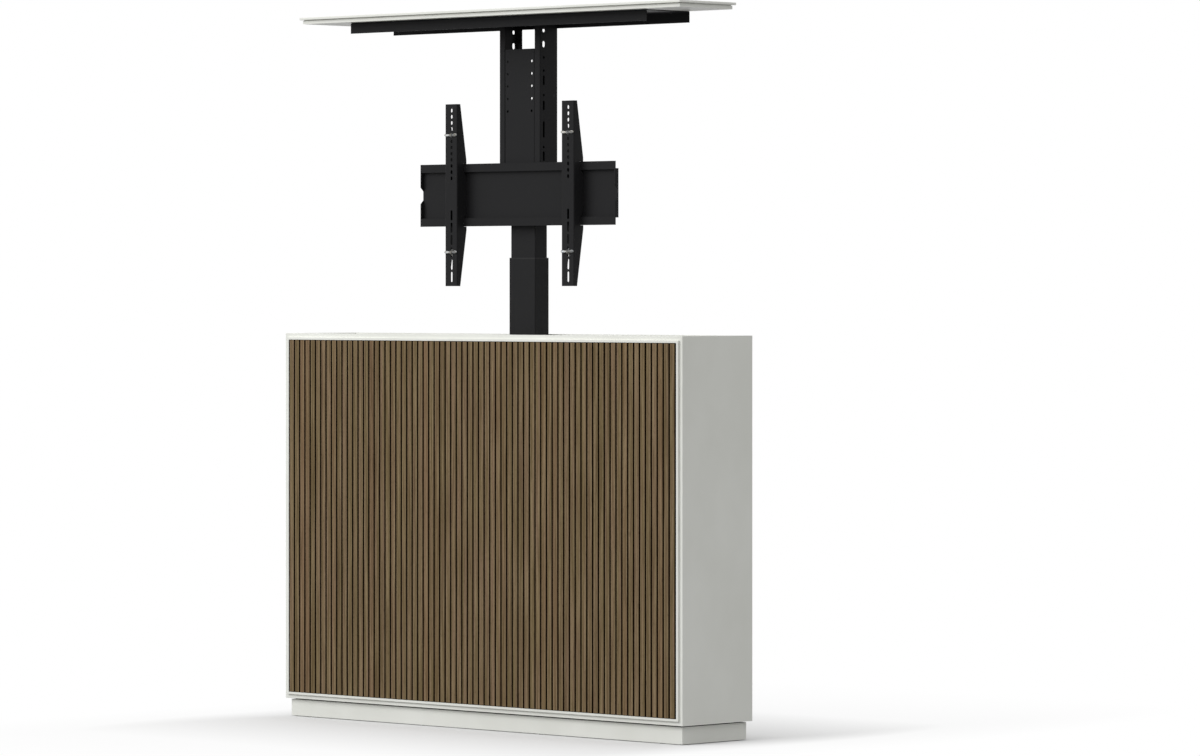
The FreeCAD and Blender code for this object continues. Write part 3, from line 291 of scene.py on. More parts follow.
@dataclass(frozen=True)
class PowderCoat:
    """Fine-texture polyester powder coat: near black, low gloss, with a tight grain.

    The grain is drawn coarser than the real one, so that it shows.
    """

    name: str = "black_powder_coat"
    colour: str = "#252526"
    speck: str = "#2D2D2E"
    grain_mm: float = 0.55

    def build(self) -> bpy.types.Material:
        """Break the gloss with a fine grain and a few paler specks.

        Returns:
            The material of this finish.
        """
        recipe = Recipe(self.name)
        grain = recipe.noise((self.grain_mm,) * 3, 2.0)
        clouds = recipe.noise((60, 60, 90), 2.0)
        colour = recipe.blend(recipe.remap(grain, 0.45, 0.8), linear(self.colour), linear(self.speck))
        rough = recipe.remap(clouds, 0.3, 0.7, 0.36, 0.44)
        return recipe.finish(Base_Color=colour, Roughness=rough, IOR=1.5, Specular_IOR_Level=0.05,
                             Normal=recipe.bump(grain, 0.03))


@dataclass(frozen=True)
class ZincPlate:
    """Bright zinc electroplate on pressed steel: silvery, with a faint blue and straw bloom."""

    name: str = "bright_zinc_plate"
    blue: str = "#74787D"
    straw: str = "#7E7B73"

    def build(self) -> bpy.types.Material:
        """Cloud two pale metal colours and their gloss.

        Returns:
            The material of this finish.
        """
        recipe = Recipe(self.name)
        bloom = recipe.noise((7, 7, 7), 3.0)
        fine = recipe.noise((0.5, 0.5, 0.5), 2.0)
        colour = recipe.blend(recipe.remap(bloom, 0.35, 0.65), linear(self.blue), linear(self.straw))
        rough = recipe.remap(bloom, 0.3, 0.7, 0.24, 0.36)
        return recipe.finish(Base_Color=colour, Metallic=1.0, Roughness=rough,
                             Normal=recipe.bump(fine, 0.006))


@dataclass(frozen=True)
class BlackOxide:
    """Black-oxide steel fasteners: a dark oily sheen that wears slightly paler on its high spots."""

    name: str = "black_oxide_steel"
    colour: str = "#1B1B1D"
    worn: str = "#39393B"

    def build(self) -> bpy.types.Material:
        """Mix in a little wear in small patches.

        Returns:
            The material of this finish.
        """
        recipe = Recipe(self.name)
        wear = recipe.noise((2.5, 2.5, 2.5), 4.0)
        colour = recipe.blend(recipe.remap(wear, 0.55, 0.8), linear(self.colour), linear(self.worn))
        rough = recipe.remap(wear, 0.3, 0.7, 0.36, 0.5)
        return recipe.finish(Base_Color=colour, Metallic=0.8, Roughness=rough, Normal=recipe.bump(wear, 0.01))


@dataclass(frozen=True)
class GroundSteel:
    """Rolled and polished screw steel: bright crests with fine lines round the axis."""

    name: str = "rolled_screw_steel"
    colour: str = "#B4B5B8"
    oiled: str = "#8E8C86"

    def build(self) -> bpy.types.Material:
        """Draw fine lines along the height and a thin film of oil in patches.

        Returns:
            The material of this finish.
        """
        recipe = Recipe(self.name)
        film = recipe.noise((14, 14, 30), 3.0)
        lines = recipe.noise((40, 40, 0.4), 2.0)
        colour = recipe.blend(recipe.remap(film, 0.45, 0.7), linear(self.colour), linear(self.oiled))
        rough = recipe.remap(film, 0.3, 0.7, 0.22, 0.34)
        return recipe.finish(Base_Color=colour, Metallic=1.0, Roughness=rough,
                             Normal=recipe.bump(lines, 0.008))


@dataclass(frozen=True)
class MotorCan:
    """Drawn and plated steel can: satin grey with drawing lines along its length."""

    name: str = "plated_motor_can"
    colour: str = "#8C8F92"
    shade: str = "#707376"

    def build(self) -> bpy.types.Material:
        """Stretch a noise along the can for its drawing lines.

        Returns:
            The material of this finish.
        """
        recipe = Recipe(self.name)
        lines = recipe.noise((0.6, 0.6, 60), 3.0)
        colour = recipe.blend(recipe.remap(lines, 0.35, 0.7), linear(self.colour), linear(self.shade))
        rough = recipe.remap(lines, 0.3, 0.7, 0.3, 0.42)
        return recipe.finish(Base_Color=colour, Metallic=1.0, Roughness=rough,
                             Normal=recipe.bump(lines, 0.01))


@dataclass(frozen=True)
class NeedledFelt:
    """Brown-black needled felt: no gloss, a fuzz of crossed fibres."""

    name: str = "brown_black_needled_felt"
    colour: str = "#120801"
    fibre: str = "#1A0D02"

    def build(self) -> bpy.types.Material:
        """Cross two fibre noises for colour and height.

        Returns:
            The material of this finish.
        """
        recipe = Recipe(self.name)
        across = recipe.noise((3.0, 1.0, 0.35), 3.0)
        upright = recipe.noise((0.35, 1.0, 3.0), 3.0)
        fuzz = recipe.math("MAXIMUM", across, upright)
        colour = recipe.blend(recipe.remap(fuzz, 0.5, 0.8), linear(self.colour), linear(self.fibre))
        return recipe.finish(Base_Color=colour, Roughness=0.95, Specular_IOR_Level=0.0,
                             Normal=recipe.bump(fuzz, 0.15))


@dataclass(frozen=True)
class BarePlywood:
    """Bare birch plywood: pale tan, long grain, slightly darker bands."""

    name: str = "bare_birch_plywood"
    colour: str = "#D3B98F"
    band: str = "#B4946A"

    def build(self) -> bpy.types.Material:
        """Run the grain along X, as the rails and blocks are cut.

        Returns:
            The material of this finish.
        """
        recipe = Recipe(self.name)
        bands = recipe.noise((240, 7, 7), 3.0)
        fibres = recipe.noise((30, 0.8, 0.8), 3.0)
        colour = recipe.blend(recipe.remap(bands, 0.4, 0.7), linear(self.colour), linear(self.band))
        colour = recipe.blend(recipe.remap(fibres, 0.5, 0.8, 0.0, 0.5), colour, linear(self.band))
        return recipe.finish(Base_Color=colour, Roughness=0.68, Normal=recipe.bump(fibres, 0.05))


@dataclass(frozen=True)
class NaturalAcetal:
    """Unfilled natural acetal: milky, a little waxy, with faint tool marks."""

    name: str = "natural_acetal"
    colour: str = "#E9E6DA"
    shade: str = "#DAD6C6"

    def build(self) -> bpy.types.Material:
        """Cloud two creams and lay faint rings of tool marks.

        Returns:
            The material of this finish.
        """
        recipe = Recipe(self.name)
        clouds = recipe.noise((12, 12, 12), 2.0)
        marks = recipe.noise((9, 9, 0.5), 1.0)
        colour = recipe.blend(recipe.remap(clouds, 0.35, 0.7), linear(self.colour), linear(self.shade))
        rough = recipe.remap(clouds, 0.3, 0.7, 0.34, 0.44)
        return recipe.finish(Base_Color=colour, Roughness=rough, IOR=1.48, Normal=recipe.bump(marks, 0.01))


@dataclass(frozen=True)
class SparkedPlastic:
    """Black ABS from a spark-eroded mould: matt, with a fine even texture.

    The pits are drawn coarser than the real ones, so that they show.
    """

    name: str = "black_sparked_abs"
    colour: str = "#19191A"
    lift: str = "#242425"
    grain_mm: float = 0.7

    def build(self) -> bpy.types.Material:
        """Use cells for the pits that spark erosion leaves.

        Returns:
            The material of this finish.
        """
        recipe = Recipe(self.name)
        inputs = {"Vector": recipe.stretched((self.grain_mm,) * 3), "Scale": 1.0}
        pits = recipe.add("ShaderNodeTexVoronoi", inputs, voronoi_dimensions="3D").outputs["Distance"]
        colour = recipe.blend(recipe.remap(pits, 0.2, 0.8), linear(self.colour), linear(self.lift))
        return recipe.finish(Base_Color=colour, Roughness=recipe.remap(pits, 0.0, 0.8, 0.5, 0.62), IOR=1.53,
                             Specular_IOR_Level=0.2, Normal=recipe.bump(pits, 0.04))


@dataclass(frozen=True)
class PrintedMark:
    """Pale grey pad print on black plastic, for the up and down arrows."""

    name: str = "pale_pad_print"
    colour: str = "#C8C8C4"
    thin: str = "#8D8D8A"

    def build(self) -> bpy.types.Material:
        """Let the print's edge and thickness vary a little.

        Returns:
            The material of this finish.
        """
        recipe = Recipe(self.name)
        ink = recipe.noise((1.2, 1.2, 1.2), 3.0)
        colour = recipe.blend(recipe.remap(ink, 0.5, 0.9, 0.0, 0.3), linear(self.colour), linear(self.thin))
        return recipe.finish(Base_Color=colour, Roughness=0.55, Normal=recipe.bump(ink, 0.01))


class Finish(Enum):
    """Every finish of the cabinet."""

    LACQUER = SatinLacquer()
    PLINTH = RebatedLacquer()
    WALNUT = StainedWalnut()
    COAT = PowderCoat()
    ZINC = ZincPlate()
    OXIDE = BlackOxide()
    SCREW = GroundSteel()
    CAN = MotorCan()
    FELT = NeedledFelt()
    PLYWOOD = BarePlywood()
    ACETAL = NaturalAcetal()
    PLASTIC = SparkedPlastic()
    PRINT = PrintedMark()


class Paintbox:
    """Builds each finish once and hands out its material."""

    def __init__(self) -> None:
        """Start with no material made."""
        self._made: dict[Finish, bpy.types.Material] = {}

    def material(self, finish: Finish) -> bpy.types.Material:
        """Find the material of a finish, built at its first use.

        Args:
            finish: the finish.

        Returns:
            Its material.
        """
        if finish not in self._made:
            self._made[finish] = finish.value.build()
        return self._made[finish]

    def coat_node(self, name: str, finish: Finish) -> None:
        """Give a solid's object the material of a finish.

        Args:
            name: node of the solid.
            finish: its finish.
        """
        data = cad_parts[name].data
        if not data.materials:
            data.materials.append(self.material(finish))
        for index in range(len(data.materials)):
            data.materials[index] = self.material(finish)


# ---------------------------------------------------------------- surfaces
@dataclass
class Shell:
    """Points and four-sided faces of one closed surface."""

    points: np.ndarray
    faces: np.ndarray


def woven_faces(rows: int, columns: int) -> np.ndarray:
    """Number the faces of a grid whose last column meets its first.

    Args:
        rows: rings of points.
        columns: points in each ring.

    Returns:
        An array of four point numbers a face.
    """
    row, column = np.meshgrid(np.arange(rows - 1), np.arange(columns), indexing="ij")
    after = (column + 1) % columns
    corners = (row * columns + column, row * columns + after, (row + 1) * columns + after,
               (row + 1) * columns + column)
    return np.stack(corners, axis=-1).reshape(-1, 4)


def side_axes(axis: np.ndarray) -> tuple[np.ndarray, np.ndarray]:
    """Find two unit vectors square to an axis and to each other.

    Args:
        axis: unit vector.

    Returns:
        The two vectors.
    """
    helper = np.array(UP) if abs(axis[2]) < 0.9 else np.array((1.0, 0.0, 0.0))
    first = np.cross(helper, axis)
    first /= np.linalg.norm(first)
    return first, np.cross(axis, first)


def turned(profile: list[tuple[float, float]], origin: tuple[float, float, float],
           axis: tuple[float, float, float], sides: int = 32, flats: tuple[int, ...] = ()) -> Shell:
    """Turn a profile round an axis, with a hexagon instead of a circle on chosen rings.

    A ring's point is origin + h * axis + r(a) * (cos a * u + sin a * v).  On a round ring r(a) is the
    profile's radius, and on a hexagon ring it is r * cos 30 / cos(a mod 60 - 30).

    Args:
        profile: radius and height in metres of each ring.
        origin: point where the height is zero.
        axis: unit vector along which the height grows.
        sides: points in each ring.
        flats: numbers of the rings that are hexagons, whose radius is to their corners.

    Returns:
        The turned surface.
    """
    direction = np.asarray(axis, float)
    first, second = side_axes(direction)
    angle = np.linspace(0.0, 2 * np.pi, sides, endpoint=False)
    radius, height = np.array(profile).T
    ring = np.repeat(radius[:, None], sides, axis=1)
    hexagon = np.cos(np.pi / 6) / np.cos(np.mod(angle, np.pi / 3) - np.pi / 6)
    for number in flats:
        ring[number] *= hexagon
    spoke = np.cos(angle)[:, None] * first + np.sin(angle)[:, None] * second
    points = (np.asarray(origin, float) + height[:, None, None] * direction
              + ring[:, :, None] * spoke[None, :, :])
    return Shell(points.reshape(-1, 3), woven_faces(len(profile), sides))


def swept(path: np.ndarray, half_width: np.ndarray, half_height: np.ndarray,
          across: tuple[float, float, float], squareness: float, sides: int) -> Shell:
    """Carry a rounded section along a path in one plane.

    A section's point is path + w * c(a) * n + h * s(a) * across, where c and s are the cosine and sine of
    a raised to the squareness with their sign kept, and n is square to the path and to across.

    Args:
        path: points of the centre line.
        half_width: half size of the section along n at each point.
        half_height: half size of the section along across at each point.
        across: unit vector square to the plane of the path.
        squareness: 1 for an ellipse, less for a fuller section.
        sides: points in each section.

    Returns:
        The swept surface, closed at both ends where the sizes fall to zero.
    """
    over = np.asarray(across, float)
    along = np.gradient(path, axis=0)
    along /= np.linalg.norm(along, axis=1)[:, None]
    normal = np.cross(over, along)
    angle = np.linspace(0.0, 2 * np.pi, sides, endpoint=False)
    c = np.sign(np.cos(angle)) * np.abs(np.cos(angle)) ** squareness
    s = np.sign(np.sin(angle)) * np.abs(np.sin(angle)) ** squareness
    points = (path[:, None, :] + (half_width[:, None] * c)[:, :, None] * normal[:, None, :]
              + (half_height[:, None] * s)[:, :, None] * over)
    return Shell(points.reshape(-1, 3), woven_faces(len(path), sides))


def rounded_block(low: tuple[float, float, float], high: tuple[float, float, float], radius: float) -> Shell:
    """Make a block whose upright edges and top edges are rounded, as stacked rounded rectangles.

    A ring's point is the corner of an inner rectangle plus r * (cos a, sin a), and near the top r and the
    height follow a quarter circle.

    Args:
        low: lowest corner.
        high: highest corner.
        radius: radius of the rounded edges.

    Returns:
        The closed block.
    """
    sides = 24
    angle = (np.arange(sides) + 0.5) * 2 * np.pi / sides
    middle = (np.array(low) + np.array(high)) / 2
    inner = (np.array(high) - np.array(low)) / 2 - radius
    corner = np.stack((np.sign(np.cos(angle)) * inner[0], np.sign(np.sin(angle)) * inner[1]), axis=1)
    spoke = np.stack((np.cos(angle), np.sin(angle)), axis=1)
    bend = np.linspace(0.0, np.pi / 2, 6)
    reach = np.concatenate(([radius], radius * np.cos(bend)))
    height = np.concatenate(([low[2]], high[2] - radius + radius * np.sin(bend)))
    rings = corner[None] + reach[:, None, None] * spoke[None]
    rings = np.concatenate((rings[:1] * 0.0, rings, rings[-1:] * 0.0))
    height = np.concatenate((height[:1], height, height[-1:]))
    flat = np.full(rings.shape[:2] + (1,), 0.0) + height[:, None, None]
    points = np.concatenate((rings + middle[:2], flat), axis=2)
    return Shell(points.reshape(-1, 3), woven_faces(len(height), sides))


class Workshop:
    """Turns surfaces into finished pieces that ride on a body, shaded smooth up to an angle between faces."""

    smooth_deg = 35.0

    def __init__(self, paint: Paintbox) -> None:
        """Remember the paintbox that colours every piece."""
        self.paint = paint

    def piece(self, name: str, shells: list[Shell], finish: Finish, body: str, slot: str,
              replaces: tuple[str, ...] = ()) -> bpy.types.Object:
        """Make one object from closed surfaces, smooth it, and let it ride on a body.

        Args:
            name: name of the piece.
            shells: closed surfaces of the piece.
            finish: its finish.
            body: body that it moves with.
            slot: material slot of the record that it stands for; not used.
            replaces: solids that it stands for.

        Returns:
            The finished object.
        """
        starts = np.cumsum([0] + [len(shell.points) for shell in shells])
        points = np.concatenate([shell.points for shell in shells])
        faces = np.concatenate([shell.faces + start for shell, start in zip(shells, starts)])
        mesh = bpy.data.meshes.new(name)
        mesh.from_pydata(points.tolist(), [], faces.tolist())
        work = bmesh.new()
        work.from_mesh(mesh)
        bmesh.ops.remove_doubles(work, verts=work.verts, dist=1e-6)
        bmesh.ops.dissolve_degenerate(work, edges=work.edges, dist=1e-7)
        bmesh.ops.recalc_face_normals(work, faces=work.faces)
        work.to_mesh(mesh)
        work.free()
        mesh.shade_smooth()
        mesh.set_sharp_from_angle(angle=math.radians(self.smooth_deg))
        mesh.materials.append(self.paint.material(finish))
        made = bpy.data.objects.new(name, mesh)
        bpy.context.scene.collection.objects.link(made)
        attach(made, body)
        if replaces:
            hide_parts(*replaces)
        LOG.info("%s rides on %s with %d faces", name, body, len(mesh.polygons))
        return made


# ---------------------------------------------------------------- fasteners
@dataclass(frozen=True)
class Bolt:
    """Button-head bolt with a hexagon socket, in millimetres."""

    shank: float
    head: float
    rise: float
    key: float

    def shell(self, under: tuple[float, float, float], axis: tuple[float, float, float],
              length: float) -> Shell:
        """Make the bolt from the middle of its socket, over the dome and down the shank.

        Args:
            under: point under the head.
            axis: direction of the shank.
            length: length of the shank in metres.

        Returns:
            The closed surface of the bolt.
        """
        head, rise, key, shank = (v * MM for v in (self.head, self.rise, self.key, self.shank))
        dome = [(head * math.cos(t), -rise * (0.25 + 0.75 * math.sin(t))) for t in np.linspace(0.0, 0.95, 7)]
        rim = 0.72 * head
        profile = [(0.0, -0.35 * rise), (key, -0.35 * rise), (key, -0.94 * rise), (rim * 0.86, -rise)]
        profile += [(max(r, rim * 0.88), h) for r, h in reversed(dome)]
        profile += [(head, -0.15 * rise), (head * 0.97, 0.0), (shank, 0.0), (shank, length - 0.6 * MM),
                    (shank - 0.6 * MM, length), (0.0, length)]
        return turned(profile, under, axis, sides=36, flats=(1, 2))


def stud(face: tuple[float, float, float], axis: tuple[float, float, float], radius: float,
         length: float) -> Shell:
    """Make a plain stud with a chamfered end.

    Args:
        face: middle of its flat end.
        axis: direction from that end.
        radius: radius in metres.
        length: length in metres.

    Returns:
        The closed surface of the stud.
    """
    ease = 0.6 * MM
    profile = [(0.0, 0.0), (radius, 0.0), (radius, length - ease), (radius - ease, length), (0.0, length)]
    return turned(profile, face, axis, sides=28)


@dataclass(frozen=True)
class Nut:
    """Hexagon nut with chamfered corners, in millimetres."""

    corner: float
    height: float
    hole: float

    @property
    def flat(self) -> float:
        """Half of the width across flats."""
        return self.corner * math.cos(math.pi / 6)

    def shell(self, face: tuple[float, float, float], axis: tuple[float, float, float]) -> Shell:
        """Make the nut.

        Args:
            face: middle of the face that bears on the work.
            axis: direction away from the work.

        Returns:
            The closed surface of the nut.
        """
        corner, height, hole = (v * MM for v in (self.corner, self.height, self.hole))
        flat = self.flat * MM
        ease = 0.12 * height
        profile = [(hole, 0.0), (flat, 0.0), (corner, ease), (corner, height - ease), (flat, height),
                   (hole * 1.15, height), (hole, height - ease), (hole, 0.0)]
        return turned(profile, face, axis, sides=36, flats=(2, 3))


@dataclass(frozen=True)
class WoodScrew:
    """Wood screw with a cross recess, in millimetres: pan head or countersunk."""

    shank: float
    head: float
    rise: float
    sunk: bool = False

    def shell(self, under: tuple[float, float, float], axis: tuple[float, float, float],
              length: float) -> Shell:
        """Make the screw.

        Args:
            under: point below a pan head, or in the face of a countersunk one.
            axis: direction of the shank.
            length: length from that point to the tip in metres.

        Returns:
            The closed surface of the screw.
        """
        shank, head, rise = (v * MM for v in (self.shank, self.head, self.rise))
        recess = 0.5 * head
        if self.sunk:
            profile = [(0.0, 0.7 * rise), (recess * 0.5, 0.45 * rise), (recess, 0.0), (head, 0.0),
                       (shank, rise)]
        else:
            dome = [(head * math.cos(t), -rise * math.sin(t)) for t in np.linspace(1.1, 0.0, 6)]
            profile = [(0.0, -0.2 * rise), (recess * 0.6, -0.5 * rise), (recess * 0.85, -0.93 * rise)]
            profile += dome + [(shank, 0.0)]
        profile += [(shank, length * 0.8), (0.0, length)]
        return turned(profile, under, axis, sides=24)


@dataclass
class Fasteners:
    """Replaces the plain bolts and screws of the solids by ones with sockets, domes and recesses.

    Its own sizes are in millimetres.
    """

    shop: Workshop
    m6: Bolt = Bolt(shank=3.0, head=5.5, rise=3.3, key=2.3)
    m8: Bolt = Bolt(shank=4.0, head=7.0, rise=4.4, key=2.9)
    m6_nut: Nut = Nut(corner=5.5, height=5.0, hole=3.0)
    m8_nut: Nut = Nut(corner=7.2, height=6.5, hole=4.0)
    pan: WoodScrew = WoodScrew(shank=2.0, head=4.0, rise=2.5)
    sunk: WoodScrew = WoodScrew(shank=2.0, head=4.0, rise=2.5, sunk=True)
    brace: WoodScrew = WoodScrew(shank=3.0, head=5.5, rise=3.3, sunk=True)
    bracket_sheet: float = 4.0
    bracket_grip: float = 6.0
    foot_half_spacing: float = 32.0
    brace_half_spacing: float = 20.0
    lid_screw_count: int = 6
    back_screw_count: int = 5

    def build(self) -> None:
        """Make every group of fasteners at the places that the solids give."""
        self.plate_studs()
        self.head_bolts()
        self.mast_bolts()
        self.lid_screws()
        self.column_bolts()
        self.back_panel_screws()

    def plate_studs(self) -> None:
        """Four M8 studs from the back of the screen plate, with their nuts behind the mast's lips."""
        low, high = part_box("plate_studs")
        x = high.x - self.m8_nut.flat * MM
        seat = high.y - self.m8_nut.height * MM
        shells = []
        for sx in (-x, x):
            for z in (low.z + self.m8_nut.corner * MM, high.z - self.m8_nut.corner * MM):
                shells.append(stud((sx, low.y, z), BACKWARD, self.m8.shank * MM, high.y - low.y))
                shells.append(self.m8_nut.shell((sx, seat, z), BACKWARD))
        self.shop.piece("plate_stud_set", shells, Finish.OXIDE, "top_stage", "black_fastener",
                        ("plate_studs",))

    def head_bolts(self) -> None:
        """Flush studs of the head bracket, and the two bolts down into the inner tube's plug."""
        low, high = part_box("head_bolts")
        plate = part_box("head_bracket")[0].z + self.bracket_sheet * MM
        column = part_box("inner_tube")
        y_axis = (column[0].y + column[1].y) / 2
        z = high.z - self.m6_nut.corner * MM
        y = high.y - self.m6_nut.flat * MM
        grip = self.bracket_grip * MM
        stud_length = grip + self.m6_nut.height * MM
        shells = []
        for sign in (-1, 1):
            inward = (-sign, 0.0, 0.0)
            shells.append(stud((sign * high.x, y, z), inward, self.m6.shank * MM, stud_length))
            shells.append(self.m6_nut.shell((sign * (high.x - grip), y, z), inward))
            x = sign * column[1].x / 2
            shells.append(self.m6.shell((x, y_axis, plate), DOWN, plate - low.z))
        self.shop.piece("head_bolt_set", shells, Finish.OXIDE, "top_stage", "black_fastener", ("head_bolts",))

    def mast_bolts(self) -> None:
        """Four bolts up through the mast's top plate."""
        low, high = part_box("mast_bolts")
        under = low.z + self.m6.rise * MM
        reach = self.m6.head * MM
        places = [(x, y) for x in (low.x + reach, high.x - reach) for y in (low.y + reach, high.y - reach)]
        shells = [self.m6.shell((x, y, under), UP, high.z - under) for x, y in places]
        self.shop.piece("mast_bolt_set", shells, Finish.OXIDE, "top_stage", "black_fastener", ("mast_bolts",))

    def lid_screws(self) -> None:
        """Two rows of pan-head screws that hold the carrier to the lid."""
        low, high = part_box("lid_screws")
        reach = self.pan.head * MM
        under = low.z + self.pan.rise * MM
        shells = []
        for x in np.linspace(low.x + reach, high.x - reach, self.lid_screw_count):
            for y in (low.y + reach, high.y - reach):
                shells.append(self.pan.shell((float(x), y, under), UP, high.z - under))
        self.shop.piece("lid_screw_set", shells, Finish.OXIDE, "top_stage", "black_fastener", ("lid_screws",))

    def column_bolts(self) -> None:
        """Four bolts in the column's foot and two countersunk screws in its brace."""
        low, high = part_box("column_bolts")
        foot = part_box("lift_base_plate")
        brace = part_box("column_brace")
        reach = self.m8.head * MM
        foot_y = (foot[0].y + foot[1].y) / 2
        shells = []
        for x in (low.x + reach, high.x - reach):
            for side in (-1, 1):
                y = foot_y + side * self.foot_half_spacing * MM
                shells.append(self.m8.shell((x, y, foot[1].z), DOWN, foot[1].z - low.z))
        z = (brace[0].z + brace[1].z) / 2
        for side in (-1, 1):
            x = side * self.brace_half_spacing * MM
            shells.append(self.brace.shell((x, high.y, z), FORWARD, high.y - brace[0].y))
        self.shop.piece("column_bolt_set", shells, Finish.ZINC, "root", "zinc_steel", ("column_bolts",))

    def back_panel_screws(self) -> None:
        """Row of countersunk screws across the back panel."""
        low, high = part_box("back_panel_screws")
        reach = self.sunk.head * MM
        z = (low.z + high.z) / 2
        shells = [self.sunk.shell((float(x), high.y, z), FORWARD, high.y - low.y)
                  for x in np.linspace(low.x + reach, high.x - reach, self.back_screw_count)]
        self.shop.piece("back_screw_set", shells, Finish.ZINC, "root", "zinc_steel", ("back_panel_screws",))


# ---------------------------------------------------------------- moving hardware
@dataclass
class WingScrews:
    """Four pressed wing screws that hold a screen to the arms, in millimetres."""

    shop: Workshop
    collar: float = 5.0
    collar_rise: float = 1.4
    hub_rise: float = 5.0
    thread: float = 3.0
    pitch: float = 1.0
    twist_deg: float = 17.0
    blade_ahead: float = 3.1
    blade_root: float = 1.7
    blade_swell: float = 1.9
    blade_half_thickness: float = 0.8
    tip_rise: float = 0.9
    tip_start: float = 0.62

    def build(self) -> None:
        """Make one wing screw at each of the four solids."""
        for level in ("upper", "lower"):
            for side in ("left", "right"):
                self.one(f"wing_screw_{level}_{side}")

    def one(self, node: str) -> None:
        """Make the hub, the twisted blade and the thread of one screw.

        Args:
            node: solid that it stands for, which is also its body.
        """
        low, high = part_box(node)
        x = (low.x + high.x) / 2
        z = low.z + self.collar * MM
        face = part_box("left_arm")[0].y
        hub = [(0.0, 4.6), (2.0, 4.6), (2.5, self.hub_rise), (3.0, self.hub_rise), (3.5, 4.6), (3.8, 2.6),
               (4.2, self.collar_rise), (4.7, self.collar_rise), (self.collar, 1.0), (self.collar, 0.3),
               (4.7, 0.0), (0.0, 0.0)]
        shells = [turned([(r * MM, h * MM) for r, h in hub], (x, face, z), FORWARD, sides=40)]
        shells.append(self.blade_shell((x, face - self.blade_ahead * MM, z), high.x - x))
        shells.append(self.thread_shell(x, z, face, high.y))
        self.shop.piece(f"{node}_cast", shells, Finish.ZINC, node, "zinc_steel", (node,))

    def blade_shell(self, middle: tuple[float, float, float], span: float) -> Shell:
        """Make the pair of wings as one thin blade, pressed so that its two lobes lean opposite ways.

        At the share t of the span the blade leans by f = -twist * tanh(5 t).  A section's point is the
        middle plus (t * span, t^2 * rise) plus w(t) * c(a) * (sin f, cos f) + d(t) * s(a) * (-cos f, sin f),
        written along Y and Z, where c and s are the cosine and sine of a.  The half width w grows from
        the root by the swell over the first part of the span and closes at the tip along a quarter ellipse.

        Args:
            middle: middle of the blade, ahead of the arm's face.
            span: length of one wing.

        Returns:
            The closed surface of the blade.
        """
        share = np.linspace(-1.0, 1.0, 61)
        reach = np.abs(share)
        lean = -math.radians(self.twist_deg) * np.tanh(5.0 * share)
        closing = (reach - self.tip_start).clip(0.0) / (1.0 - self.tip_start)
        tip = np.clip(1.0 - closing ** 2, 0.0, 1.0) ** 0.5
        width = (self.blade_root + self.blade_swell * np.clip(reach / 0.55, 0.0, 1.0)) * tip * MM
        depth = self.blade_half_thickness * np.minimum(tip * 3.0, 1.0) * MM
        rise = self.tip_rise * MM * share ** 2
        angle = np.linspace(0.0, 2 * np.pi, 16, endpoint=False)
        across = width[:, None] * np.cos(angle)
        through = depth[:, None] * np.sin(angle)
        sine, cosine = np.sin(lean)[:, None], np.cos(lean)[:, None]
        points = np.stack((np.broadcast_to((middle[0] + share * span)[:, None], across.shape),
                           middle[1] + across * sine - through * cosine,
                           middle[2] + rise[:, None] + across * cosine + through * sine), axis=2)
        return Shell(points.reshape(-1, 3), woven_faces(len(share), len(angle)))

    def thread_shell(self, x: float, z: float, face: float, end: float) -> Shell:
        """Make the thread: its radius rises and falls once for each pitch along it, with the angle added.

        Args:
            x: place of the axis along X.
            z: place of the axis along Z.
            face: start of the thread along Y.
            end: end of the thread along Y.

        Returns:
            The closed surface of the thread.
        """
        length = end - face
        rows, sides = 56, 20
        height = np.linspace(0.0, length, rows)
        angle = np.linspace(0.0, 2 * np.pi, sides, endpoint=False)
        phase = height[:, None] / (self.pitch * MM) - angle[None, :] / (2 * np.pi)
        ridge = np.abs(np.mod(phase, 1.0) - 0.5) * 2.0
        radius = (self.thread - 0.6 * ridge) * MM
        radius[0] = radius[-1] = 0.0
        points = np.stack((x + radius * np.cos(angle), np.broadcast_to(face + height[:, None], radius.shape),
                           z + radius * np.sin(angle)), axis=2)
        return Shell(points.reshape(-1, 3), woven_faces(rows, sides))


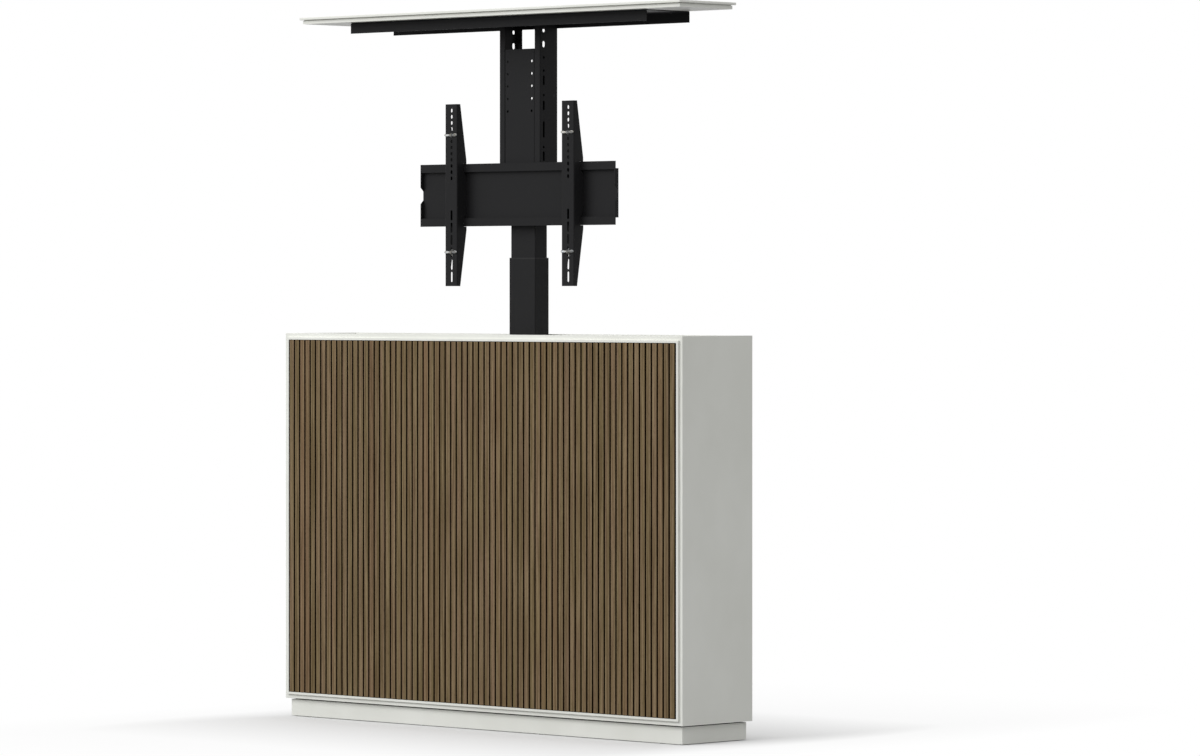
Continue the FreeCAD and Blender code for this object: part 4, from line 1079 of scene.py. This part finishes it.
@dataclass
class LiftScrews:
    """The two lead screws of the column, with their threads, in millimetres."""

    shop: Workshop
    pitch: float = 4.0
    starts: int = 4
    depth: float = 1.3
    row_mm: float = 0.8
    sides: int = 24
    crest_lower: float = 8.0
    journal: float = 6.0
    drive_radius: float = 8.5
    drive_length: float = 16.0
    crest_upper: float = 11.0
    bore_upper: float = 8.6
    sleeve: float = 10.0
    collar: float = 14.0
    collar_length: float = 3.0

    def threaded(self, bottom: float, top: float, crest: float, y: float, bore: float = 0.0) -> Shell:
        """Make a trapezoidal thread of several starts between two heights.

        The radius is crest - depth * d, where d is 0 on the crest, 1 at the root and ramps between, as a
        function of height / pitch - starts * angle / (2 pi).

        Args:
            bottom: lower end in metres.
            top: upper end in metres.
            crest: outer radius in millimetres.
            y: place of the axis along Y.
            bore: radius of a hole along the axis in millimetres, or 0 for none.

        Returns:
            The closed surface.
        """
        rows = max(8, int((top - bottom) / (self.row_mm * MM)))
        height = np.linspace(bottom, top, rows)
        angle = np.linspace(0.0, 2 * np.pi, self.sides, endpoint=False)
        phase = np.mod(height[:, None] / (self.pitch * MM) - self.starts * angle[None, :] / (2 * np.pi), 1.0)
        root = np.clip((np.abs(phase - 0.5) * 2.0 - 0.35) / 0.3, 0.0, 1.0)
        radius = (crest - self.depth * root) * MM
        ends = np.full((1, self.sides), bore * MM)
        radius = np.concatenate((ends, radius, ends))
        height = np.concatenate((height[:1], height, height[-1:]))
        if bore:
            radius = np.concatenate((radius, ends))
            height = np.concatenate((height, height[:1]))
        points = np.stack((radius * np.cos(angle), y + radius * np.sin(angle),
                           np.broadcast_to(height[:, None], radius.shape)), axis=2)
        return Shell(points.reshape(-1, 3), woven_faces(len(height), self.sides))

    def build(self) -> None:
        """Make the lower screw with its journal and drive head, and the hollow upper screw."""
        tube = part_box("inner_tube")
        y = (tube[0].y + tube[1].y) / 2
        low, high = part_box("lower_screw")
        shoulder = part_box("lower_bearing")[1].z
        head = high.z - self.drive_length * MM
        journal, drive, length = self.journal, self.drive_radius, self.drive_length
        stub = (shoulder - low.z) / MM
        foot = [(0.0, 0.0), (journal - 0.5, 0.0), (journal, 0.5), (journal, stub), (0.0, stub)]
        cap = [(0.0, 0.0), (drive - 0.7, 0.0), (drive, 0.7), (drive, length - 0.7), (drive - 0.7, length),
               (0.0, length)]
        shells = [turned([(r * MM, h * MM) for r, h in foot], (0.0, y, low.z), UP),
                  self.threaded(shoulder, head, self.crest_lower, y),
                  turned([(r * MM, h * MM) for r, h in cap], (0.0, y, head), UP)]
        self.shop.piece("lower_lead_screw", shells, Finish.SCREW, "lower_screw", "screw_steel",
                        ("lower_screw",))
        low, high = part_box("upper_screw")
        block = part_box("upper_bearing")[1].z
        seat = block + self.collar_length * MM
        bore = self.bore_upper
        ring = [(bore, low.z), (self.sleeve, low.z), (self.sleeve, block), (self.collar, block),
                (self.collar, seat), (bore, seat), (bore, low.z)]
        shells = [turned([(r * MM, z) for r, z in ring], (0.0, y, 0.0), UP),
                  self.threaded(seat, high.z, self.crest_upper, y, bore=bore)]
        self.shop.piece("upper_lead_screw", shells, Finish.SCREW, "upper_screw", "screw_steel",
                        ("upper_screw",))


@dataclass
class RearFittings:
    """Cable outlet and mains gland in the back panel, in millimetres."""

    shop: Workshop
    outlet_bore: float = 26.0
    gland_bore: float = 4.0
    wall: float = 4.0
    ease: float = 0.6

    def ring(self, node: str, name: str, bore: float) -> None:
        """Make a lipped ring through the panel, eased at the flange and at both mouths of its bore.

        Args:
            node: solid that it stands for.
            name: name of the piece.
            bore: clear radius in millimetres.
        """
        low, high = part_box(node)
        x, z = (low.x + high.x) / 2, (low.z + high.z) / 2
        length = (high.y - low.y) / MM
        outer = (high.x - low.x) / 2 / MM
        wall, ease = self.wall, self.ease
        profile = [(bore, 1.0), (bore + ease, 0.2), (bore + wall, 0.0), (bore + wall, length - 2.0),
                   (outer, length - 2.0), (outer, length - 1.2), (outer - ease, length - 0.2),
                   (bore + wall, length), (bore + ease, length - 0.2), (bore, length - 1.0), (bore, 1.0)]
        shell = turned([(r * MM, h * MM) for r, h in profile], (x, low.y, z), BACKWARD, sides=64)
        self.shop.piece(name, [shell], Finish.PLASTIC, "root", "black_plastic", (node,))

    def build(self) -> None:
        """Make the round outlet and the gland."""
        self.ring("cable_outlet", "cable_outlet_ring", self.outlet_bore)
        self.ring("mains_gland", "mains_gland_ring", self.gland_bore)


@dataclass
class ControlUnit:
    """Ribs and screws on the control box, and its rocker with two arrows, in millimetres."""

    shop: Workshop
    rib_count: int = 9
    rib_first: float = 14.0
    rib_pitch: float = 5.0
    rib_width: float = 2.4
    rib_margin: float = 12.0
    rib_sunk: float = 0.4
    rib_rise: float = 0.8
    rib_round: float = 0.6
    screw: WoodScrew = WoodScrew(shank=2.0, head=3.2, rise=1.6)
    screw_inset: float = 7.0
    screw_length: float = 6.0
    key_half_width: float = 5.0
    key_dish: float = 1.5
    key_belly: float = 1.4
    pin_radius: float = 1.5
    pin_drop: float = 7.0
    arrow_share: float = 0.58
    arrow_radius: float = 2.0
    arrow_sunk: float = 0.4
    arrow_rise: float = 0.05

    def build(self) -> None:
        """Dress the closed box and replace the rocker."""
        low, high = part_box("control_box")
        self.rocker()
        margin = self.rib_margin * MM
        shells = []
        for index in range(self.rib_count):
            x = low.x + (self.rib_first + self.rib_pitch * index) * MM
            foot = (x, low.y + margin, high.z - self.rib_sunk * MM)
            crown = (x + self.rib_width * MM, high.y - margin, high.z + self.rib_rise * MM)
            shells.append(rounded_block(foot, crown, self.rib_round * MM))
        self.shop.piece("control_box_ribs", shells, Finish.PLASTIC, "root", "black_plastic")
        inset = self.screw_inset * MM
        screws = [self.screw.shell((x, y, high.z), DOWN, self.screw_length * MM)
                  for x in (low.x + inset, high.x - inset) for y in (low.y + inset, high.y - inset)]
        self.shop.piece("control_box_screws", screws, Finish.ZINC, "root", "zinc_steel")

    def rocker(self) -> None:
        """Make the rocker as a block with a dished top, over the same trunnions, and its two arrows.

        At the share t of its half length the top is lower by dish * (1 - t^2), and the under side is
        higher by belly * |t|.
        """
        low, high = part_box("rocker")
        x, y = (low.x + high.x) / 2, (low.y + high.y) / 2
        half, width = (high.x - low.x) / 2, self.key_half_width * MM
        share = np.linspace(-1.0, 1.0, 33)
        top = high.z - self.key_dish * MM * (1.0 - share ** 2)
        bottom = low.z + self.key_belly * MM * np.abs(share)
        inset = np.clip((1.0 - np.abs(share)) / 0.06, 0.0, 1.0) ** 0.5
        middle = (top + bottom) / 2
        path = np.stack((x + share * half, np.full_like(share, y), middle), axis=1)
        shells = [swept(path, (top - bottom) / 2 * inset, width * inset, BACKWARD, squareness=0.25, sides=32)]
        pin = (high.y - low.y) / 2
        axis_z = high.z - self.pin_drop * MM
        radius, ease = self.pin_radius * MM, 0.3 * MM
        trunnion = [(0.0, -pin), (radius - ease, -pin), (radius, -pin + ease), (radius, pin - ease),
                    (radius - ease, pin), (0.0, pin)]
        shells.append(turned(trunnion, (x, y, axis_z), BACKWARD))
        self.shop.piece("rocker_key", shells, Finish.PLASTIC, "rocker", "black_plastic", ("rocker",))
        reach, sunk, rise = self.arrow_radius * MM, self.arrow_sunk * MM, self.arrow_rise * MM
        outline = [(0.0, -sunk), (reach, -sunk), (reach, rise), (0.0, rise)]
        height = high.z - self.key_dish * MM * (1.0 - self.arrow_share ** 2) + rise
        arrows = [turned(outline, (x + sign * half * self.arrow_share, y, height), UP, sides=3)
                  for sign in (-1, 1)]
        self.shop.piece("rocker_arrows", arrows, Finish.PRINT, "rocker", "black_plastic")


# ---------------------------------------------------------------- the solids that keep their shape
@dataclass
class CoatedSolids:
    """Finishes of the solids whose own shape is shown."""

    paint: Paintbox

    def build(self) -> None:
        """Coat every solid, group by group."""
        groups = {
            Finish.LACQUER: ("side_panel_left", "side_panel_right", "top_panel", "bottom_panel", "back_panel",
                             "front_panel", "lid_board"),
            Finish.PLINTH: ("plinth_front", "plinth_rear", "plinth_left", "plinth_right"),
            Finish.WALNUT: ("front_slats",),
            Finish.FELT: ("slat_backing",),
            Finish.PLYWOOD: ("plinth_corner_blocks", "rear_rail"),
            Finish.COAT: ("lid_carrier", "mast_channel_left", "mast_channel_right", "mast_rail",
                          "mast_top_plate", "head_bracket", "screen_plate", "left_arm", "right_arm",
                          "inner_tube", "middle_tube", "fixed_tube", "lift_base_plate", "column_brace"),
            Finish.OXIDE: ("plate_studs", "head_bolts", "lid_screws", "mast_bolts"),
            Finish.ZINC: ("column_bolts", "back_panel_screws", "corner_angles",
                          "left_arm_nuts", "right_arm_nuts", "wing_screw_upper_left", "wing_screw_lower_left",
                          "wing_screw_upper_right", "wing_screw_lower_right"),
            Finish.SCREW: ("lower_screw", "upper_screw", "motor_coupling"),
            Finish.CAN: ("gear_motor",),
            Finish.ACETAL: ("fixed_tube_glides", "middle_tube_glides", "inner_tube_glides", "lower_nut",
                            "upper_nut", "upper_bearing", "lower_bearing", "tube_plug"),
            Finish.PLASTIC: ("cable_outlet", "mains_gland", "middle_tube_collar", "control_box", "rocker",
                             "plinth_glides"),
        }
        for finish, names in groups.items():
            for name in names:
                self.paint.coat_node(name, finish)
        LOG.info("%d solids coated", sum(len(names) for names in groups.values()))


# ---------------------------------------------------------------- studio
@dataclass(frozen=True)
class Studio:
    """Floor, soft light and the camera's viewing angle.

    Floor shade fade pairs a distance from the plinth in metres with the share of plain white in the floor
    there; the small shares near the plinth are a painted shade on top of the lamp's real shadow.
    """

    camera_place: tuple[float, float, float] = (9.8645, -9.8724, 1.0639)
    camera_turn_deg: float = 44.098
    lens_mm: float = 172.39
    sensor_mm: float = 36.0
    shift_y: float = -0.0738
    clip_end: float = 200.0
    floor_half: float = 40.0
    world_light: float = 0.74
    key_place: tuple[float, float, float] = (-6.4, -10.6, 8.4)
    key_target: tuple[float, float, float] = (0.0, 0.0, 0.8)
    key_size: float = 9.0
    key_watts: float = 1150.0
    floor_tone: str = "#848484"
    plinth_half: tuple[float, float, float] = (0.6695, 0.11, 1.0)
    floor_gain: float = 0.76
    # painted shade: less white near the plinth shows the floor darker round the cabinet
    floor_shade_fade: tuple[tuple[float, float], ...] = ((0.0, 0.0), (0.03, 0.15), (0.15, 0.36), (0.7, 0.9),
                                                   (1.6, 1.0))
    floor_stretch: tuple[float, float, float] = (4.0, 1.0, 1.0)

    def build(self) -> None:
        """Set up the camera, the world, the lamp and the floor."""
        self.camera()
        self.world()
        self.lamp("key_light", self.key_place, self.key_target, self.key_size, self.key_watts)
        self.floor()
        bpy.context.scene.view_settings.view_transform = "Standard"

    def camera(self) -> None:
        """Place a level camera on the right front, with a small downward shift of the picture."""
        data = bpy.data.cameras.new("camera")
        data.lens = self.lens_mm
        data.sensor_width = self.sensor_mm
        data.shift_y = self.shift_y
        data.clip_end = self.clip_end
        made = bpy.data.objects.new("camera", data)
        made.location = self.camera_place
        made.rotation_euler = (math.pi / 2, 0.0, math.radians(self.camera_turn_deg))
        bpy.context.scene.collection.objects.link(made)
        bpy.context.scene.camera = made

    def world(self) -> None:
        """Show a white background to the camera, to gloss and to glass, and light with a softer one."""
        world = bpy.data.worlds.new("studio")
        world.use_nodes = True
        tree = world.node_tree
        tree.nodes.clear()
        path = add_node(tree, "ShaderNodeLightPath").outputs
        seen = add_node(tree, "ShaderNodeMath", {0: path["Is Camera Ray"], 1: path["Is Glossy Ray"]},
                        operation="MAXIMUM").outputs[0]
        seen = add_node(tree, "ShaderNodeMath", {0: seen, 1: path["Is Transmission Ray"]},
                        operation="MAXIMUM").outputs[0]
        strength = add_node(tree, "ShaderNodeMapRange", {"Value": seen, "To Min": self.world_light,
                                                         "To Max": 1.0}).outputs["Result"]
        light = add_node(tree, "ShaderNodeBackground", {"Color": (1.0, 1.0, 1.0, 1.0), "Strength": strength})
        add_node(tree, "ShaderNodeOutputWorld", {"Surface": light.outputs["Background"]})
        bpy.context.scene.world = world

    def lamp(self, name: str, place: tuple[float, float, float], target: tuple[float, float, float],
             size: float, watts: float) -> None:
        """Hang one square area lamp that looks at a point.

        Args:
            name: name of the lamp.
            place: where it hangs.
            target: point that it looks at.
            size: length of its side.
            watts: its power.
        """
        data = bpy.data.lights.new(name, "AREA")
        data.energy = watts
        data.size = size
        made = bpy.data.objects.new(name, data)
        made.location = place
        made.rotation_euler = (Vector(target) - Vector(place)).to_track_quat("-Z", "Y").to_euler()
        bpy.context.scene.collection.objects.link(made)

    def floor(self) -> None:
        """Lay a matt floor that takes the shadow and is a mid grey to the light that bounces off it.

        To the camera, to gloss and to glass it is a pale grey that turns to plain white with the distance
        from the plinth's rectangle: the lamp's shadow shows in the grey, and the grey near the plinth is also
        a painted shade.
        """
        half = self.floor_half
        mesh = bpy.data.meshes.new("studio_floor")
        edge = [(-half, -half, 0.0), (half, -half, 0.0), (half, half, 0.0), (-half, half, 0.0)]
        mesh.from_pydata(edge, [], [(0, 1, 2, 3)])
        recipe = Recipe("pale_floor")
        folded = recipe.add("ShaderNodeVectorMath", {0: recipe.place}, operation="ABSOLUTE").outputs["Vector"]
        beyond = recipe.add("ShaderNodeVectorMath", {0: folded, 1: self.plinth_half}, operation="SUBTRACT")
        beyond = recipe.add("ShaderNodeVectorMath", {0: beyond.outputs["Vector"], 1: (0.0, 0.0, 0.0)},
                            operation="MAXIMUM").outputs["Vector"]
        beyond = recipe.add("ShaderNodeVectorMath", {0: beyond, 1: self.floor_stretch},
                            operation="MULTIPLY").outputs["Vector"]
        distance = recipe.add("ShaderNodeVectorMath", {0: beyond}, operation="LENGTH").outputs["Value"]
        # painted shade: the share of white falls towards the plinth, so the floor is shown darker there on
        # top of the real shadow
        lift = self.floor_shade_fade[0][1]
        for (near, low), (far, high) in zip(self.floor_shade_fade, self.floor_shade_fade[1:]):
            lift = recipe.math("ADD", lift, recipe.remap(distance, near, far, 0.0, high - low))
        path = recipe.add("ShaderNodeLightPath").outputs
        seen = recipe.math("MAXIMUM", path["Is Camera Ray"],
                           recipe.math("MAXIMUM", path["Is Glossy Ray"], path["Is Transmission Ray"]))
        matt = recipe.add("ShaderNodeBsdfDiffuse", {"Color": linear(self.floor_tone)}).outputs["BSDF"]
        pale = (self.floor_gain, self.floor_gain, self.floor_gain, 1.0)
        shown = recipe.add("ShaderNodeBsdfDiffuse", {"Color": pale}).outputs["BSDF"]
        white = recipe.add("ShaderNodeEmission", {"Color": (1.0, 1.0, 1.0, 1.0)}).outputs["Emission"]
        shown = recipe.add("ShaderNodeMixShader", {0: lift, 1: shown, 2: white})
        mixed = recipe.add("ShaderNodeMixShader", {0: seen, 1: matt, 2: shown.outputs["Shader"]})
        recipe.add("ShaderNodeOutputMaterial", {"Surface": mixed.outputs["Shader"]})
        mesh.materials.append(recipe.material)
        made = bpy.data.objects.new("studio_floor", mesh)
        bpy.context.scene.collection.objects.link(made)


def corners(box: tuple[Vector, Vector]) -> list[list[float]]:
    """Turn a box into plain lists of numbers."""
    return [[float(value) for value in corner] for corner in box]


def main() -> None:
    """Build the studio and every piece, in order."""
    logging.basicConfig(level=logging.INFO, format="%(message)s")
    paint = Paintbox()
    shop = Workshop(paint)
    Studio().build()
    CoatedSolids(paint).build()
    Fasteners(shop).build()
    WingScrews(shop).build()
    LiftScrews(shop).build()
    RearFittings(shop).build()
    ControlUnit(shop).build()


if __name__ == "__main__":
    main()
